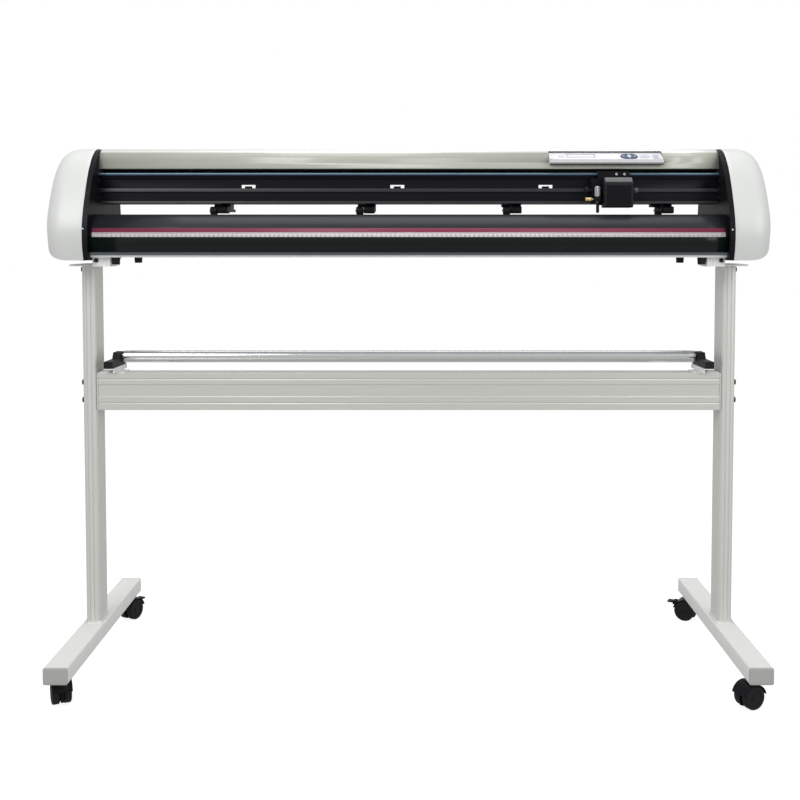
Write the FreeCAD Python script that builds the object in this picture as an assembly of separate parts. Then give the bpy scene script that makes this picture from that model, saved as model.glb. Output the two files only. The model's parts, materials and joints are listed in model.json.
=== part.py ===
"""Floor-standing roll-fed vinyl cutter on a wheeled stand.

Frame: millimetres, +X to the operator's right, +Y to the rear, +Z up.
The origin is on the floor, under the centre of the machine's bounding box.
"""
import FreeCAD
import Part

import math
import os

V = FreeCAD.Vector
X_AXIS = V(1, 0, 0)
Y_AXIS = V(0, 1, 0)
Z_AXIS = V(0, 0, 1)

# ---- driving dimensions: stand ----
FOOT_LENGTH = 600.0        # along Y
FOOT_HALF_WIDTH = 25.0
FOOT_BOTTOM = 60.0         # caster mounting height
FOOT_TOP = 95.0
FOOT_WALL = 2.0
FOOT_CAP = 3.0             # thickness of the end cap outside the tube
LEG_X = 717.5              # centre plane of each foot and column
COLUMN_WIDTH = 32.0
COLUMN_DEPTH = 70.0
COLUMN_TOP = 906.0
COLUMN_WALL = 2.5
CASTER_Y = 258.0           # swivel axis, each side of the middle
CASTER_TRAIL = 16.0        # swivel axis to wheel axle
WHEEL_R = 25.0
WHEEL_WIDTH = 16.0
WHEEL_OFFSET = 11.5        # wheel centre plane from the caster's middle
STEM_R = 5.0
STEM_BOTTOM = 49.0
CROSSBAR_BOTTOM = 581.5
CROSSBAR_TOP = 665.5
CROSSBAR_FRONT = -34.0
CROSSBAR_REAR = 17.0
ROLL_Y = 40.0              # media roller axis
ROLL_Z = 695.4
ROLL_R = 14.0
ROLL_HALF = 656.0
CRADLE_IN = 660.0          # inner face of the roller cradles
CRADLE_OUT = 682.0

# ---- driving dimensions: machine ----
PLATE_IN = 688.0           # inner face of the side plates
PLATE_OUT = 698.7
END_X = 790.0              # outermost point of the end covers
HEAD_BOTTOM = 920.0
HEAD_TOP = 1168.0
COVER_WALL = 3.0
DOME_Z = 1022.0            # height the end covers close in towards
DOME_REACH = 130.0         # typical distance from the dome's middle line to its wall
DOME_PROFILE = ((0.0, 1.0, 1.0), (0.15, 1.0, 1.0), (0.35, 1.0, 1.0), (0.56, 0.995, 0.985),
                (0.7, 0.965, 0.945), (0.82, 0.9, 0.875), (0.92, 0.8, 0.75),
                (1.0, 0.54, 0.37))    # (share of length, size in Y, size in Z)
PAN_Z = 926.0              # underside of the base pan
PLATEN_Z = 1019.5          # flat top of the platen
NOSE_Y = -82.0             # where the flat turns into the rounded nose
BEAM_BOTTOM = 1045.0
BEAM_TOP = 1106.0
BEAM_FRONT = -30.0
BEAM_REAR = 40.0
GRIT_Y = -20.0             # grit shaft and pinch wheel axes
GRIT_Z = 1010.3
GRIT_R = 10.0
PINCH_R = 9.0
PINCH_CENTRES = (-425.0, -98.0, 231.0, 571.0)
SLOT_CENTRES = (-358.0, -26.0, 305.0)
PIVOT_Y = 14.0             # pinch arm pivot
PIVOT_Z = 1036.0
PULLEY_X = 735.0
PULLEY_Y = 5.0
PULLEY_R = 13.0            # belt running radius
BELT_BOTTOM = 1118.0
BELT_HEIGHT = 10.0
BELT_THICK = 1.5
GEAR_MODULE = 1.0
FEED_TEETH = 60
PINION_TEETH = 15
TOOL_X = 414.0             # blade axis at rest
TOOL_Y = -75.0
BOX_LEFT = 425.3           # carriage cover
BOX_RIGHT = 488.0
BOX_FRONT = -98.0
BOX_BOTTOM = 1034.6
BOX_TOP = 1099.5
PANEL_TILT = 28.0          # control panel, from horizontal
PANEL_LEFT = 311.0
PANEL_RIGHT = 563.0
PANEL_FRONT_Y = -56.0
PANEL_FRONT_Z = 1140.0
PANEL_DEPTH = 38.0
SWITCH_X = 650.0
SWITCH_Z = 962.0

RUN = 0.06                 # radial clearance of running fits
GAP = 0.3                  # clearance between bodies that only pass


# ---- helpers ----
def box(x0, x1, y0, y1, z0, z1):
    return Part.makeBox(x1 - x0, y1 - y0, z1 - z0, V(x0, y0, z0))


def rod(x, y, z, axis, radius, length):
    return Part.makeCylinder(radius, length, V(x, y, z), axis)


def tube(x, y, z, axis, outer, inner, length):
    return rod(x, y, z, axis, outer, length).cut(rod(x, y, z, axis, inner, length))


def join(shapes):
    return shapes[0].multiFuse(list(shapes[1:])).removeSplitter()


def polygon_prism(points, direction):
    wire = Part.makePolygon(points + [points[0]])
    return Part.Face(wire).extrude(direction)


def mirrored(shape):
    return shape.mirror(V(0, 0, 0), X_AXIS)


def edges_along(shape, axis):
    picked = []
    for edge in shape.Edges:
        if isinstance(edge.Curve, (Part.Line, Part.LineSegment)):
            if edge.tangentAt(edge.FirstParameter).cross(axis).Length < 1e-6:
                picked.append(edge)
    return picked


def rounded_box(x0, x1, y0, y1, z0, z1, axis, radius):
    block = box(x0, x1, y0, y1, z0, z1)
    return block.makeFillet(radius, edges_along(block, axis))


def smooth_edge(points, start_tangent=None, end_tangent=None):
    """One smooth curve in a Y-Z plane through (y, z) points."""
    curve = Part.BSplineCurve()
    places = [V(0, y, z) for y, z in points]
    if start_tangent:
        curve.interpolate(Points=places, InitialTangent=V(0, *start_tangent), FinalTangent=V(0, *end_tangent))
    else:
        curve.interpolate(Points=places)
    return curve.toShape()


def straight_edge(a, b):
    return Part.makeLine(V(0, *a), V(0, *b))


def parallel_edge(edge, distance, stations=18):
    """A smooth curve at a steady distance from edge, on the side X_AXIS x travel."""
    places = []
    for station in range(stations + 1):
        along = edge.getParameterByLength(edge.Length * station / stations)
        normal = X_AXIS.cross(edge.tangentAt(along).normalize())
        places.append(edge.valueAt(along) + normal * distance)
    curve = Part.BSplineCurve()
    curve.interpolate(Points=places)
    return curve.toShape()


def sheet_along_x(edge, start_distance, end_distance, half_length):
    """A bent sheet between two curves parallel to edge, run along X."""
    near = parallel_edge(edge, start_distance)
    far = parallel_edge(edge, end_distance)
    first = Part.makeLine(near.valueAt(near.FirstParameter), far.valueAt(far.FirstParameter))
    last = Part.makeLine(near.valueAt(near.LastParameter), far.valueAt(far.LastParameter))
    section = Part.Face(Part.Wire([near, last, far, first]))
    section.translate(V(-half_length, 0, 0))
    return section.extrude(V(2 * half_length, 0, 0))


def save(node, shapes):
    if not isinstance(shapes, (list, tuple)):
        shapes = [shapes]
    solids = []
    for shape in shapes:
        solids.extend(shape.Solids)
    result = solids[0] if len(solids) == 1 else Part.makeCompound(solids)
    result.exportStep("parts/" + node + ".step")


# ---- head: outline of the side plates and end covers ----
def head_outline():
    """Closed side outline: a convex nose, a high crown and a straight base."""
    nose = [(-130, HEAD_BOTTOM), (-138.7, 985), (-116.5, 1053), (-67, 1134)]
    crown = [(-31, 1161), (8, HEAD_TOP), (52, 1160), (96, 1130)]
    back = [(126, 1075), (138, 1005), (134, HEAD_BOTTOM)]
    top = smooth_edge(nose + crown + back)
    base = straight_edge((134, HEAD_BOTTOM), (-130, HEAD_BOTTOM))
    return Part.Wire([top, base])


def head_slice(x0, x1):
    """The head's side outline, run from x0 to x1."""
    face = Part.Face(head_outline())
    face.translate(V(x0, 0, 0))
    return face.extrude(V(x1 - x0, 0, 0))


def dome(length, shrink):
    """Solid nose of an end cover, from the side plate outwards, its walls drawn in by shrink."""
    outlines = []
    draw_in = shrink / DOME_REACH
    for share, size_y, size_z in DOME_PROFILE:
        sizing = FreeCAD.Matrix()
        sizing.move(V(0, 0, -DOME_Z))
        sizing.scale(V(1, size_y - draw_in, size_z - draw_in))
        sizing.move(V(PLATE_OUT + share * length, 0, DOME_Z))
        outlines.append(head_outline().transformGeometry(sizing))
    return Part.makeLoft(outlines, True, True)


def end_cover():
    """Right end cover: a thin domed shell, open towards the side plate."""
    length = END_X - PLATE_OUT
    outer = dome(length, 0.0)
    inner = dome(length - COVER_WALL, COVER_WALL)
    return outer.cut(inner)


def side_plate():
    """Right side plate with its shaft bush bore and the belt window."""
    plate = head_slice(PLATE_IN, PLATE_OUT)
    shaft_hole = rod(PLATE_IN - 1, GRIT_Y, GRIT_Z, X_AXIS, 5.0 + RUN, 15)
    window = box(PLATE_IN - 1, PLATE_OUT + 1, PULLEY_Y - 18, PULLEY_Y + 18, 1112, 1134)
    wiring_hole = rod(PLATE_IN - 1, 70, 975, X_AXIS, 12, 15)
    return plate.cut(shaft_hole).cut(window).cut(wiring_hole)


def motor_bracket():
    """Angle on the right side plate that carries the carriage motor."""
    shelf = box(PLATE_OUT, 764, -24, 34, 1100.3, 1103.3)
    flange = box(PLATE_OUT, PLATE_OUT + 3, -24, 34, 1060, 1103.3)
    hole = rod(PULLEY_X, PULLEY_Y, 1099, Z_AXIS, 19.2, 6)
    return join([shelf, flange]).cut(hole)


def idler_bracket():
    """Angle and pin on the left side plate that carry the idler pulley."""
    shelf = box(-757, -PLATE_OUT, -15, 25, 1111, 1114)
    flange = box(-PLATE_OUT - 3, -PLATE_OUT, -15, 25, 1080, 1114)
    pin = rod(-PULLEY_X, PULLEY_Y, 1112, Z_AXIS, 3.0, 20)
    return join([shelf, flange, pin])


def feed_motor_bracket():
    """Plate on two legs, outside the left side plate, for the feed motor."""
    centre_z = GRIT_Z - feed_centre_distance()
    face = box(-719, -716, GRIT_Y - 40, GRIT_Y + 40, centre_z - 32, centre_z + 26)
    low_leg = box(-719, -PLATE_OUT, GRIT_Y - 40, GRIT_Y + 40, centre_z - 32, centre_z - 29)
    pilot = rod(-720, GRIT_Y, centre_z, X_AXIS, 9.6, 6)
    shaft_room = box(-720, -715, GRIT_Y - 9, GRIT_Y + 9, centre_z + 20, centre_z + 27)
    return join([face, low_leg]).cut(pilot).cut(shaft_room)


# ---- feed drive ----
def feed_centre_distance():
    return GEAR_MODULE * (FEED_TEETH + PINION_TEETH) / 2.0


def spur_gear(teeth, width, bore, phase):
    """Straight-flanked spur gear about X at the origin; a tooth points to phase degrees from +Y."""
    pitch_r = GEAR_MODULE * teeth / 2.0
    root_r = pitch_r - 1.25 * GEAR_MODULE
    tip_r = pitch_r + 0.9 * GEAR_MODULE
    step = 2 * math.pi / teeth
    start = math.radians(phase)
    points = []
    for tooth in range(teeth):
        middle = start + tooth * step
        for radius, share in ((root_r, -0.33), (tip_r, -0.11), (tip_r, 0.11), (root_r, 0.33)):
            angle = middle + share * step
            points.append(V(0, radius * math.cos(angle), radius * math.sin(angle)))
    gear = polygon_prism(points, V(width, 0, 0))
    return gear.cut(rod(-1, 0, 0, X_AXIS, bore, width + 2))


def grit_shaft():
    """Feed shaft with four knurled grit rollers."""
    parts = [rod(-714, GRIT_Y, GRIT_Z, X_AXIS, 5.0, 1404)]
    for centre in PINCH_CENTRES:
        parts.append(rod(centre - 60, GRIT_Y, GRIT_Z, X_AXIS, GRIT_R, 120))
    return join(parts)


def feed_gear():
    """Large gear on the left end of the grit shaft, a tooth space pointing down."""
    half_step = 180.0 / FEED_TEETH
    gear = spur_gear(FEED_TEETH, 8, 5.0, -90 + half_step)
    gear.translate(V(-710, GRIT_Y, GRIT_Z))
    return gear


def feed_pinion():
    """Pinion on the feed motor's shaft, a tooth pointing up."""
    pinion = spur_gear(PINION_TEETH, 10, 3.2 + RUN, 90)
    pinion.translate(V(-711.5, GRIT_Y, GRIT_Z - feed_centre_distance()))
    return pinion


def stepper_motor(body_length, shaft_length):
    """57 mm stepper motor at the origin, shaft along +Z, mounting face at z = 0."""
    body = box(-28.5, 28.5, -28.5, 28.5, -body_length, -0.01)
    body = body.makeChamfer(4, edges_along(body, Z_AXIS))
    pilot = rod(0, 0, -1, Z_AXIS, 19.0, 2.6)
    shaft = rod(0, 0, 0, Z_AXIS, 3.2, shaft_length)
    return join([body, pilot, shaft])


def stepper_motors():
    feed = stepper_motor(45, 20)
    small_pilot = rod(0, 0, -0.01, Z_AXIS, 25, 3).cut(rod(0, 0, -0.01, Z_AXIS, 9.5, 3))
    feed = feed.cut(small_pilot)
    feed.rotate(V(0, 0, 0), Y_AXIS, 90)
    feed.translate(V(-719.3, GRIT_Y, GRIT_Z - feed_centre_distance()))
    drive = stepper_motor(56, 29)
    drive.translate(V(PULLEY_X, PULLEY_Y, 1100.2))
    return [feed, drive]


# ---- beam and carriage drive ----
def main_beam():
    """Open-backed extrusion: web, two flanges, stiffening lips and a proud rib."""
    half = PLATE_IN - 0.2
    web = box(-half, half, BEAM_FRONT, BEAM_FRONT + 4, BEAM_BOTTOM, BEAM_TOP)
    top = box(-half, half, BEAM_FRONT - 8, BEAM_REAR, BEAM_TOP - 4, BEAM_TOP)
    bottom = box(-half, half, BEAM_FRONT - 4, BEAM_REAR, BEAM_BOTTOM, BEAM_BOTTOM + 4)
    top_lip = box(-half, half, BEAM_REAR - 4, BEAM_REAR, BEAM_TOP - 16, BEAM_TOP)
    low_lip = box(-half, half, BEAM_REAR - 4, BEAM_REAR, BEAM_BOTTOM, BEAM_BOTTOM + 15)
    rib = box(-half, half, BEAM_FRONT - 2, BEAM_FRONT + 1, 1071.2, 1079.2)
    nose = box(-half, half, BEAM_FRONT - 4, BEAM_FRONT + 1, BEAM_BOTTOM, BEAM_BOTTOM + 5)
    beam = join([web, top, bottom, top_lip, low_lip, rib, nose])
    for centre in SLOT_CENTRES:
        slot = box(centre - 15.5, centre + 15.5, BEAM_FRONT - 3, BEAM_FRONT + 5, 1079.3, 1087.3)
        tab = box(centre - 8, centre + 8, BEAM_FRONT, BEAM_FRONT + 4, 1079.2, 1083.5)
        beam = beam.cut(slot.cut(tab))
    return beam


def guide_rail():
    """Hardened steel rail on the beam's front top edge, for the carriage."""
    half = PLATE_IN - 0.2
    return box(-half, half, -44, BEAM_FRONT, BEAM_TOP, 1112.3)


def drive_belt():
    """Flat closed loop round both pulleys; a still stand-in for the moving belt."""
    inner_r = PULLEY_R
    outer_r = PULLEY_R + BELT_THICK

    def loop(radius):
        ends = [rod(x, PULLEY_Y, BELT_BOTTOM, Z_AXIS, radius, BELT_HEIGHT) for x in (-PULLEY_X, PULLEY_X)]
        y0 = PULLEY_Y - radius
        y1 = PULLEY_Y + radius
        middle = box(-PULLEY_X, PULLEY_X, y0, y1, BELT_BOTTOM, BELT_BOTTOM + BELT_HEIGHT)
        return join(ends + [middle])

    return loop(outer_r).cut(loop(inner_r))


def belt_pulley(x, bore):
    """Flanged toothed pulley about Z."""
    core = rod(x, PULLEY_Y, BELT_BOTTOM - 0.5, Z_AXIS, PULLEY_R - 0.1, BELT_HEIGHT + 1)
    for tooth in range(20):
        angle = 2 * math.pi * tooth / 20
        groove_x = x + PULLEY_R * math.cos(angle)
        groove_y = PULLEY_Y + PULLEY_R * math.sin(angle)
        core = core.cut(rod(groove_x, groove_y, BELT_BOTTOM - 1, Z_AXIS, 0.8, BELT_HEIGHT + 2))
    low = rod(x, PULLEY_Y, BELT_BOTTOM - 2, Z_AXIS, PULLEY_R + 2, 1.6)
    high = rod(x, PULLEY_Y, BELT_BOTTOM + BELT_HEIGHT + 0.4, Z_AXIS, PULLEY_R + 2, 1.6)
    hole = rod(x, PULLEY_Y, BELT_BOTTOM - 3, Z_AXIS, bore, BELT_HEIGHT + 6)
    return join([core, low, high]).cut(hole)


# ---- carriage ----
def carriage():
    """Truck round the guide rail, belt clamp and the front plate."""
    skirt = box(418, 487, -50, -44.3, 1104.5, 1115)
    roof = box(418, 487, -50, -4, 1112.7, 1115.6)
    clamp = box(440, 470, -15, -4, 1115.6, 1131)
    belt_gap = box(439, 471, -10.0, -7.5, BELT_BOTTOM - GAP, BELT_BOTTOM + BELT_HEIGHT + GAP)
    inner_skirt = box(418, 487, -29.6, -25, 1106.4, 1113)
    face = box(418, 487, -57.5, -50, BOX_BOTTOM + 6, 1115)
    tool_plate = box(402, 424.5, -57.5, -50, 1044, 1099)
    body = join([skirt, roof, clamp, inner_skirt, face, tool_plate]).cut(belt_gap)
    screws = [rod(x, -57.5, 1108.5, -Y_AXIS, 2.6, 1.6) for x in (458, 475.6)]
    return [body] + screws


def carriage_cover():
    """Soft-edged box over the carriage works, and its side knob."""
    outer = rounded_box(BOX_LEFT, BOX_RIGHT, BOX_FRONT, -57.5, BOX_BOTTOM, BOX_TOP, Y_AXIS, 5)
    bevel = polygon_prism([V(BOX_LEFT - 1, BOX_FRONT - 1, BOX_TOP - 11),
                           V(BOX_LEFT - 1, BOX_FRONT - 1, BOX_TOP + 1),
                           V(BOX_LEFT - 1, BOX_FRONT + 9, BOX_TOP + 1)], V(70, 0, 0))
    inner = box(BOX_LEFT + 2, BOX_RIGHT - 2, BOX_FRONT + 10, -56, BOX_BOTTOM + 2, BOX_TOP - 2)
    low_inner = box(BOX_LEFT + 2, BOX_RIGHT - 2, BOX_FRONT + 2, -56, BOX_BOTTOM + 2, BOX_TOP - 14)
    shell = outer.cut(bevel).cut(inner).cut(low_inner)
    knob = rod(BOX_RIGHT, -78, 1072, X_AXIS, 2.0, 6)
    grip = rod(BOX_RIGHT + 5, -78, 1072, X_AXIS, 5.0, 9)
    return [shell, join([knob, grip])]


def tool_slide():
    """Slide plate with the holder's clamp ring; the blade barrel; the stop knob."""
    back = box(404, 424, -64, -57.8, 1046, 1092)
    ring = box(404, 424, -84, -64, 1047, 1058)
    ring = ring.cut(rod(TOOL_X, TOOL_Y, 1046, Z_AXIS, 5.5, 14))
    slide = join([back, ring]).cut(rod(400, TOOL_Y, 1052.5, X_AXIS, 2.1, 7))
    low = tube(TOOL_X, TOOL_Y, 1023.5, Z_AXIS, 3.5, 1.5 + RUN, 22.5)
    mid = rod(TOOL_X, TOOL_Y, 1045, Z_AXIS, 5.45, 14)
    cap = rod(TOOL_X, TOOL_Y, 1059, Z_AXIS, 7.0, 22)
    bore = rod(TOOL_X, TOOL_Y, 1023, Z_AXIS, 1.5 + RUN, 21)
    barrel = join([low, mid, cap]).cut(bore)
    knob = join([rod(387, -61, 1073.5, X_AXIS, 7.0, 8), rod(394, -61, 1073.5, X_AXIS, 2.0, 10)])
    return [slide, barrel, knob]


def tool_clamp_screw():
    """Brass thumb screw that pinches the blade barrel from the left."""
    head = rod(386.5, TOOL_Y, 1052.5, X_AXIS, 3.8, 14)
    neck = rod(400, TOOL_Y, 1052.5, X_AXIS, 2.0, 6.5)
    return join([head, neck])


def blade():
    """Drag-knife spindle with its ground tip."""
    spindle = rod(TOOL_X, TOOL_Y, 1024.0, Z_AXIS, 1.5, 19.5)
    tip = Part.makeCone(0.2, 1.2, 2.2, V(TOOL_X, TOOL_Y, 1021.9), Z_AXIS)
    return join([spindle, tip])


# ---- covers, platen and base ----
def platen_front():
    return smooth_edge([(NOSE_Y, PLATEN_Z), (-101, 1013), (-117, 998.5), (-126.5, 978), (-128, 955),
                        (-122, 932.6)], (-1, 0), (0.3, -1))


def platen():
    """Sheet that carries the vinyl: flat top, rounded nose and deep front apron."""
    half = PLATE_IN - 0.2
    rear_curve = smooth_edge([(62, PLATEN_Z), (92, 1014.5), (119, 1001)], (1, 0), (0.8, -0.6))
    rear = sheet_along_x(rear_curve, 0, -3, half)
    flat = box(-half, half, NOSE_Y, 62, PLATEN_Z - 3, PLATEN_Z)
    front = sheet_along_x(platen_front(), 0, 3, half)
    skin = join([front, flat, rear])
    for centre in PINCH_CENTRES:
        skin = skin.cut(box(centre - 62, centre + 62, GRIT_Y - 11.5, GRIT_Y + 11.5, 1010, 1025))
    groove = box(-PLATE_IN, PLATE_IN, TOOL_Y - 5, TOOL_Y + 5, PLATEN_Z - 2, PLATEN_Z + 1)
    return skin.cut(groove)


def cutting_strip():
    """Soft strip let into the platen, under the blade's path."""
    half = PLATE_IN - 1.5
    return box(-half, half, TOOL_Y - 4.9, TOOL_Y + 4.9, PLATEN_Z - 2, PLATEN_Z - 0.1)


def ruler_strip():
    """Printed scale on the front of the platen's nose."""
    half = PLATE_IN - 1.5
    outside = sheet_along_x(platen_front(), -0.05, -0.8, half)
    return outside.common(box(-half, half, -140, -100, 970.0, 989.0))


def base_pan():
    """Folded chassis tray between the side plates, under the platen."""
    half = PLATE_IN - 0.2
    floor = box(-half, half, -117, 124, PAN_Z, PAN_Z + 2)
    front = box(-half, half, -117, -115, PAN_Z, 962)
    back = box(-half, half, 122, 124, PAN_Z, 998)
    pan = join([floor, front, back])
    inlet_hole = box(590, 618, 121, 125, SWITCH_Z - 12, SWITCH_Z + 12)
    switch_hole = box(SWITCH_X - 7, SWITCH_X + 7, 121, 125, SWITCH_Z - 10.5, SWITCH_Z + 10.5)
    pan = pan.cut(inlet_hole).cut(switch_hole)
    for column in range(6):
        for row in range(3):
            x = 380 + 14 * column
            pan = pan.cut(box(x, x + 8, 121, 125, 950 + 10 * row, 954 + 10 * row))
    return pan


def top_cover_edge():
    """Outer outline of the top cover: steep front, tight shoulder, long rear slope."""
    front = [(-42, 1121), (-40, 1135), (-37, 1148)]
    crown = [(-28, 1157.5), (8, 1166), (50, 1159), (80, 1137), (88, 1117)]
    return smooth_edge(front + crown)


def console_envelope():
    """Wedge through the top cover that the control console fills."""
    rise = PANEL_DEPTH * math.sin(math.radians(PANEL_TILT))
    run = PANEL_DEPTH * math.cos(math.radians(PANEL_TILT))
    side = [(PANEL_FRONT_Y + 3, 1132), (PANEL_FRONT_Y, 1135), (PANEL_FRONT_Y, PANEL_FRONT_Z),
            (PANEL_FRONT_Y + run, PANEL_FRONT_Z + rise), (PANEL_FRONT_Y + run, 1148), (-32, 1132)]
    return polygon_prism([V(PANEL_LEFT, y, z) for y, z in side], V(PANEL_RIGHT - PANEL_LEFT, 0, 0))


def top_cover():
    """Long folded cover over the beam, with a window for the console."""
    half = PLATE_IN - 0.2
    skin = sheet_along_x(top_cover_edge(), 0, -2.5, half)
    above = console_envelope()
    above.translate(V(0, 0, 4))
    return skin.cut(console_envelope()).cut(above)


# ---- control console ----
def on_panel(shape):
    """Move a shape drawn on a flat panel (x across, y up the slope, z out) to its place."""
    shape.rotate(V(0, 0, 0), X_AXIS, PANEL_TILT)
    shape.translate(V(0, PANEL_FRONT_Y, PANEL_FRONT_Z))
    return shape


def oval(x, y, wide, deep, z0, z1):
    """Upright oval block: two round ends and a straight middle."""
    radius = deep / 2.0
    reach = wide / 2.0 - radius
    ends = [rod(x + side * reach, y, z0, Z_AXIS, radius, z1 - z0) for side in (-1, 1)]
    middle = box(x - reach, x + reach, y - radius, y + radius, z0, z1)
    return join(ends + [middle])


ARROW_X = 489.0
MODE_X = 524.0
KEY_Y = 19.0
ARROW_DEEP = 27.0
MODE_DEEP = 16.0
DISPLAY_LOW = 16.0         # display edges, up the slope
DISPLAY_HIGH = 28.0
KEY_TRAVEL = 0.8


def control_console():
    """Wedge housing with a hollow underside, a display recess and two key wells."""
    hollow = console_envelope().copy()
    hollow.translate(V(0, 4.5, -4.5))
    hollow = hollow.common(box(PANEL_LEFT + 3, PANEL_RIGHT - 3, -80, 20, 1128, 1180))
    housing = console_envelope().cut(hollow)
    recess = on_panel(box(352, 412, DISPLAY_LOW, DISPLAY_HIGH, -1.2, 1))
    arrow_well = on_panel(oval(ARROW_X, KEY_Y, 38, ARROW_DEEP, -9, 1))
    mode_well = on_panel(oval(MODE_X, KEY_Y, 22, MODE_DEEP, -9, 1))
    return housing.cut(recess).cut(arrow_well).cut(mode_well)


def display_window():
    return on_panel(box(352.1, 411.9, DISPLAY_LOW + 0.1, DISPLAY_HIGH - 0.1, -1.2, 0.2))


def arrow_pad():
    """Oval rocking pad with a raised ring of four arrows and a middle key."""
    pad = oval(ARROW_X, KEY_Y, 38 - 2 * GAP, ARROW_DEEP - 2 * GAP, -5, 1.2)
    groove = rod(ARROW_X, KEY_Y, 0.7, Z_AXIS, 6.4, 2).cut(rod(ARROW_X, KEY_Y, 0.7, Z_AXIS, 5.6, 2))
    return on_panel(pad.cut(groove))


def mode_key():
    return on_panel(oval(MODE_X, KEY_Y, 22 - 2 * GAP, MODE_DEEP - 2 * GAP, -5, 1.2))


# ---- electrics ----
def electronics():
    """Main board with its parts on posts, and a caged power supply."""
    board = box(150, 370, -60, 60, 937, 938.6)
    chips = [box(180, 210, -20, 10, 938.6, 942), box(240, 262, 10, 32, 938.6, 941.5),
             box(290, 350, 30, 55, 938.6, 962), box(165, 175, 35, 45, 938.6, 952)]
    posts = [rod(x, y, PAN_Z + 2, Z_AXIS, 3, 9) for x in (158, 362) for y in (-52, 52)]
    assembly = join([board] + chips + posts)
    supply = box(470, 570, -70, 100, PAN_Z + 2, 974)
    for row in range(8):
        supply = supply.cut(box(485, 555, -55 + 19 * row, -49 + 19 * row, 971, 975))
    return [assembly, supply]


def power_inlet():
    """Three-pin appliance inlet, and the frame of the power switch."""
    flange = box(586, 622, 124, 126.5, SWITCH_Z - 15, SWITCH_Z + 15)
    shell = box(590.2, 617.8, 106, 126.5, SWITCH_Z - 11.8, SWITCH_Z + 11.8)
    socket = box(593, 615, 110, 128, SWITCH_Z - 8.5, SWITCH_Z + 8.5)
    pins = [box(x - 1, x + 1, 108, 123, z - 2, z + 2)
            for x, z in ((598, SWITCH_Z - 2), (604, SWITCH_Z + 3), (610, SWITCH_Z - 2))]
    inlet = join([join([flange, shell]).cut(socket)] + pins)
    frame = join([box(SWITCH_X - 9, SWITCH_X + 9, 124, 126, SWITCH_Z - 12.5, SWITCH_Z + 12.5),
                  box(SWITCH_X - 6.8, SWITCH_X + 6.8, 108, 126, SWITCH_Z - 10.3, SWITCH_Z + 10.3)])
    frame = frame.cut(box(SWITCH_X - 5.6, SWITCH_X + 5.6, 112, 127, SWITCH_Z - 9.2, SWITCH_Z + 9.2))
    return [inlet, frame]


def power_switch():
    """Rocker, resting on its off side."""
    side = [(122, -8.2), (127.2, -8.2), (125.8, 0), (127.2, 8.2), (122, 8.2), (117, 0)]
    rocker = polygon_prism([V(SWITCH_X - 5.3, y, SWITCH_Z + z) for y, z in side], V(10.6, 0, 0))
    rocker.rotate(V(SWITCH_X, 120, SWITCH_Z), X_AXIS, 6)
    return rocker


def rubber_feet():
    """Four round feet under the machine, unused while it sits on the stand."""
    feet = []
    for x in (-637, 637):
        for y in (-100, 95):
            pad = Part.makeCone(8.5, 9.5, 15.5, V(x, y, PAN_Z - 15.5), Z_AXIS)
            feet.append(pad)
    return feet


# ---- pinch units ----
def pinch_block(x):
    """Sliding block that hangs on the beam's lower flange, hooked over its rear lip."""
    bridge = box(x - 19, x + 22, 22, BEAM_REAR + 6, BEAM_BOTTOM - 6, BEAM_BOTTOM - GAP)
    hook = box(x - 19, x + 22, BEAM_REAR + GAP, BEAM_REAR + 6, BEAM_BOTTOM - 6, BEAM_BOTTOM + 20)
    over = box(x - 19, x + 22, BEAM_REAR - 9, BEAM_REAR + 6, BEAM_BOTTOM + 15 + GAP, BEAM_BOTTOM + 20)
    ears = [box(x0, x0 + 4, -6, BEAM_REAR + 6, 1029, BEAM_BOTTOM - GAP) for x0 in (x - 1, x + 18)]
    pin = rod(x - 1, PIVOT_Y, PIVOT_Z, X_AXIS, 2.0, 23)
    return join([bridge, hook, over, pin] + ears)


def pinch_arm(x):
    """Rocking arm: wheel axle in front, pivot in the middle, release lever behind."""
    body = box(x - 3, x + 21, -31, -8, 1023.5, 1038.5)
    body = body.makeChamfer(3, [e for e in edges_along(body, X_AXIS) if e.CenterOfMass.y < -30])
    cheek = box(x + 5, x + 16, -18, 22, 1026.5, 1038)
    boss = rod(x + 5, PIVOT_Y, PIVOT_Z, X_AXIS, 4.8, 11)
    axle = rod(x - 22, GRIT_Y, GRIT_Z + GRIT_R + PINCH_R + GAP, X_AXIS, 2.0, 24)
    lever = box(x + 5, x + 16, 20, 82, 1030, 1034)
    grip = box(x + 2, x + 19, 70, 88, 1029, 1035)
    arm = join([body, cheek, boss, axle, lever, grip])
    return arm.cut(rod(x + 4, PIVOT_Y, PIVOT_Z, X_AXIS, 2.0 + RUN, 13))


def pinch_wheel(x):
    """Rubber-tyred roller on the arm's axle."""
    centre_z = GRIT_Z + GRIT_R + PINCH_R + GAP
    wheel = rod(x - 20, GRIT_Y, centre_z, X_AXIS, PINCH_R, 16)
    wheel = wheel.makeFillet(1.0, [e for e in wheel.Edges if isinstance(e.Curve, Part.Circle)])
    return wheel.cut(rod(x - 22, GRIT_Y, centre_z, X_AXIS, 2.0 + RUN, 20))


# ---- stand ----
def foot_tube(x):
    half = FOOT_LENGTH / 2 - FOOT_CAP
    reach = FOOT_HALF_WIDTH
    outer = rounded_box(x - reach, x + reach, -half, half, FOOT_BOTTOM, FOOT_TOP, Y_AXIS, 4)
    inside = reach - FOOT_WALL
    inner = box(x - inside, x + inside, -half, half, FOOT_BOTTOM + FOOT_WALL, FOOT_TOP - FOOT_WALL)
    shell = outer.cut(inner)
    for y in (-CASTER_Y, CASTER_Y):
        shell = shell.cut(rod(x, y, FOOT_BOTTOM - 1, Z_AXIS, STEM_R + 0.2, 5))
    return shell


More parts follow.
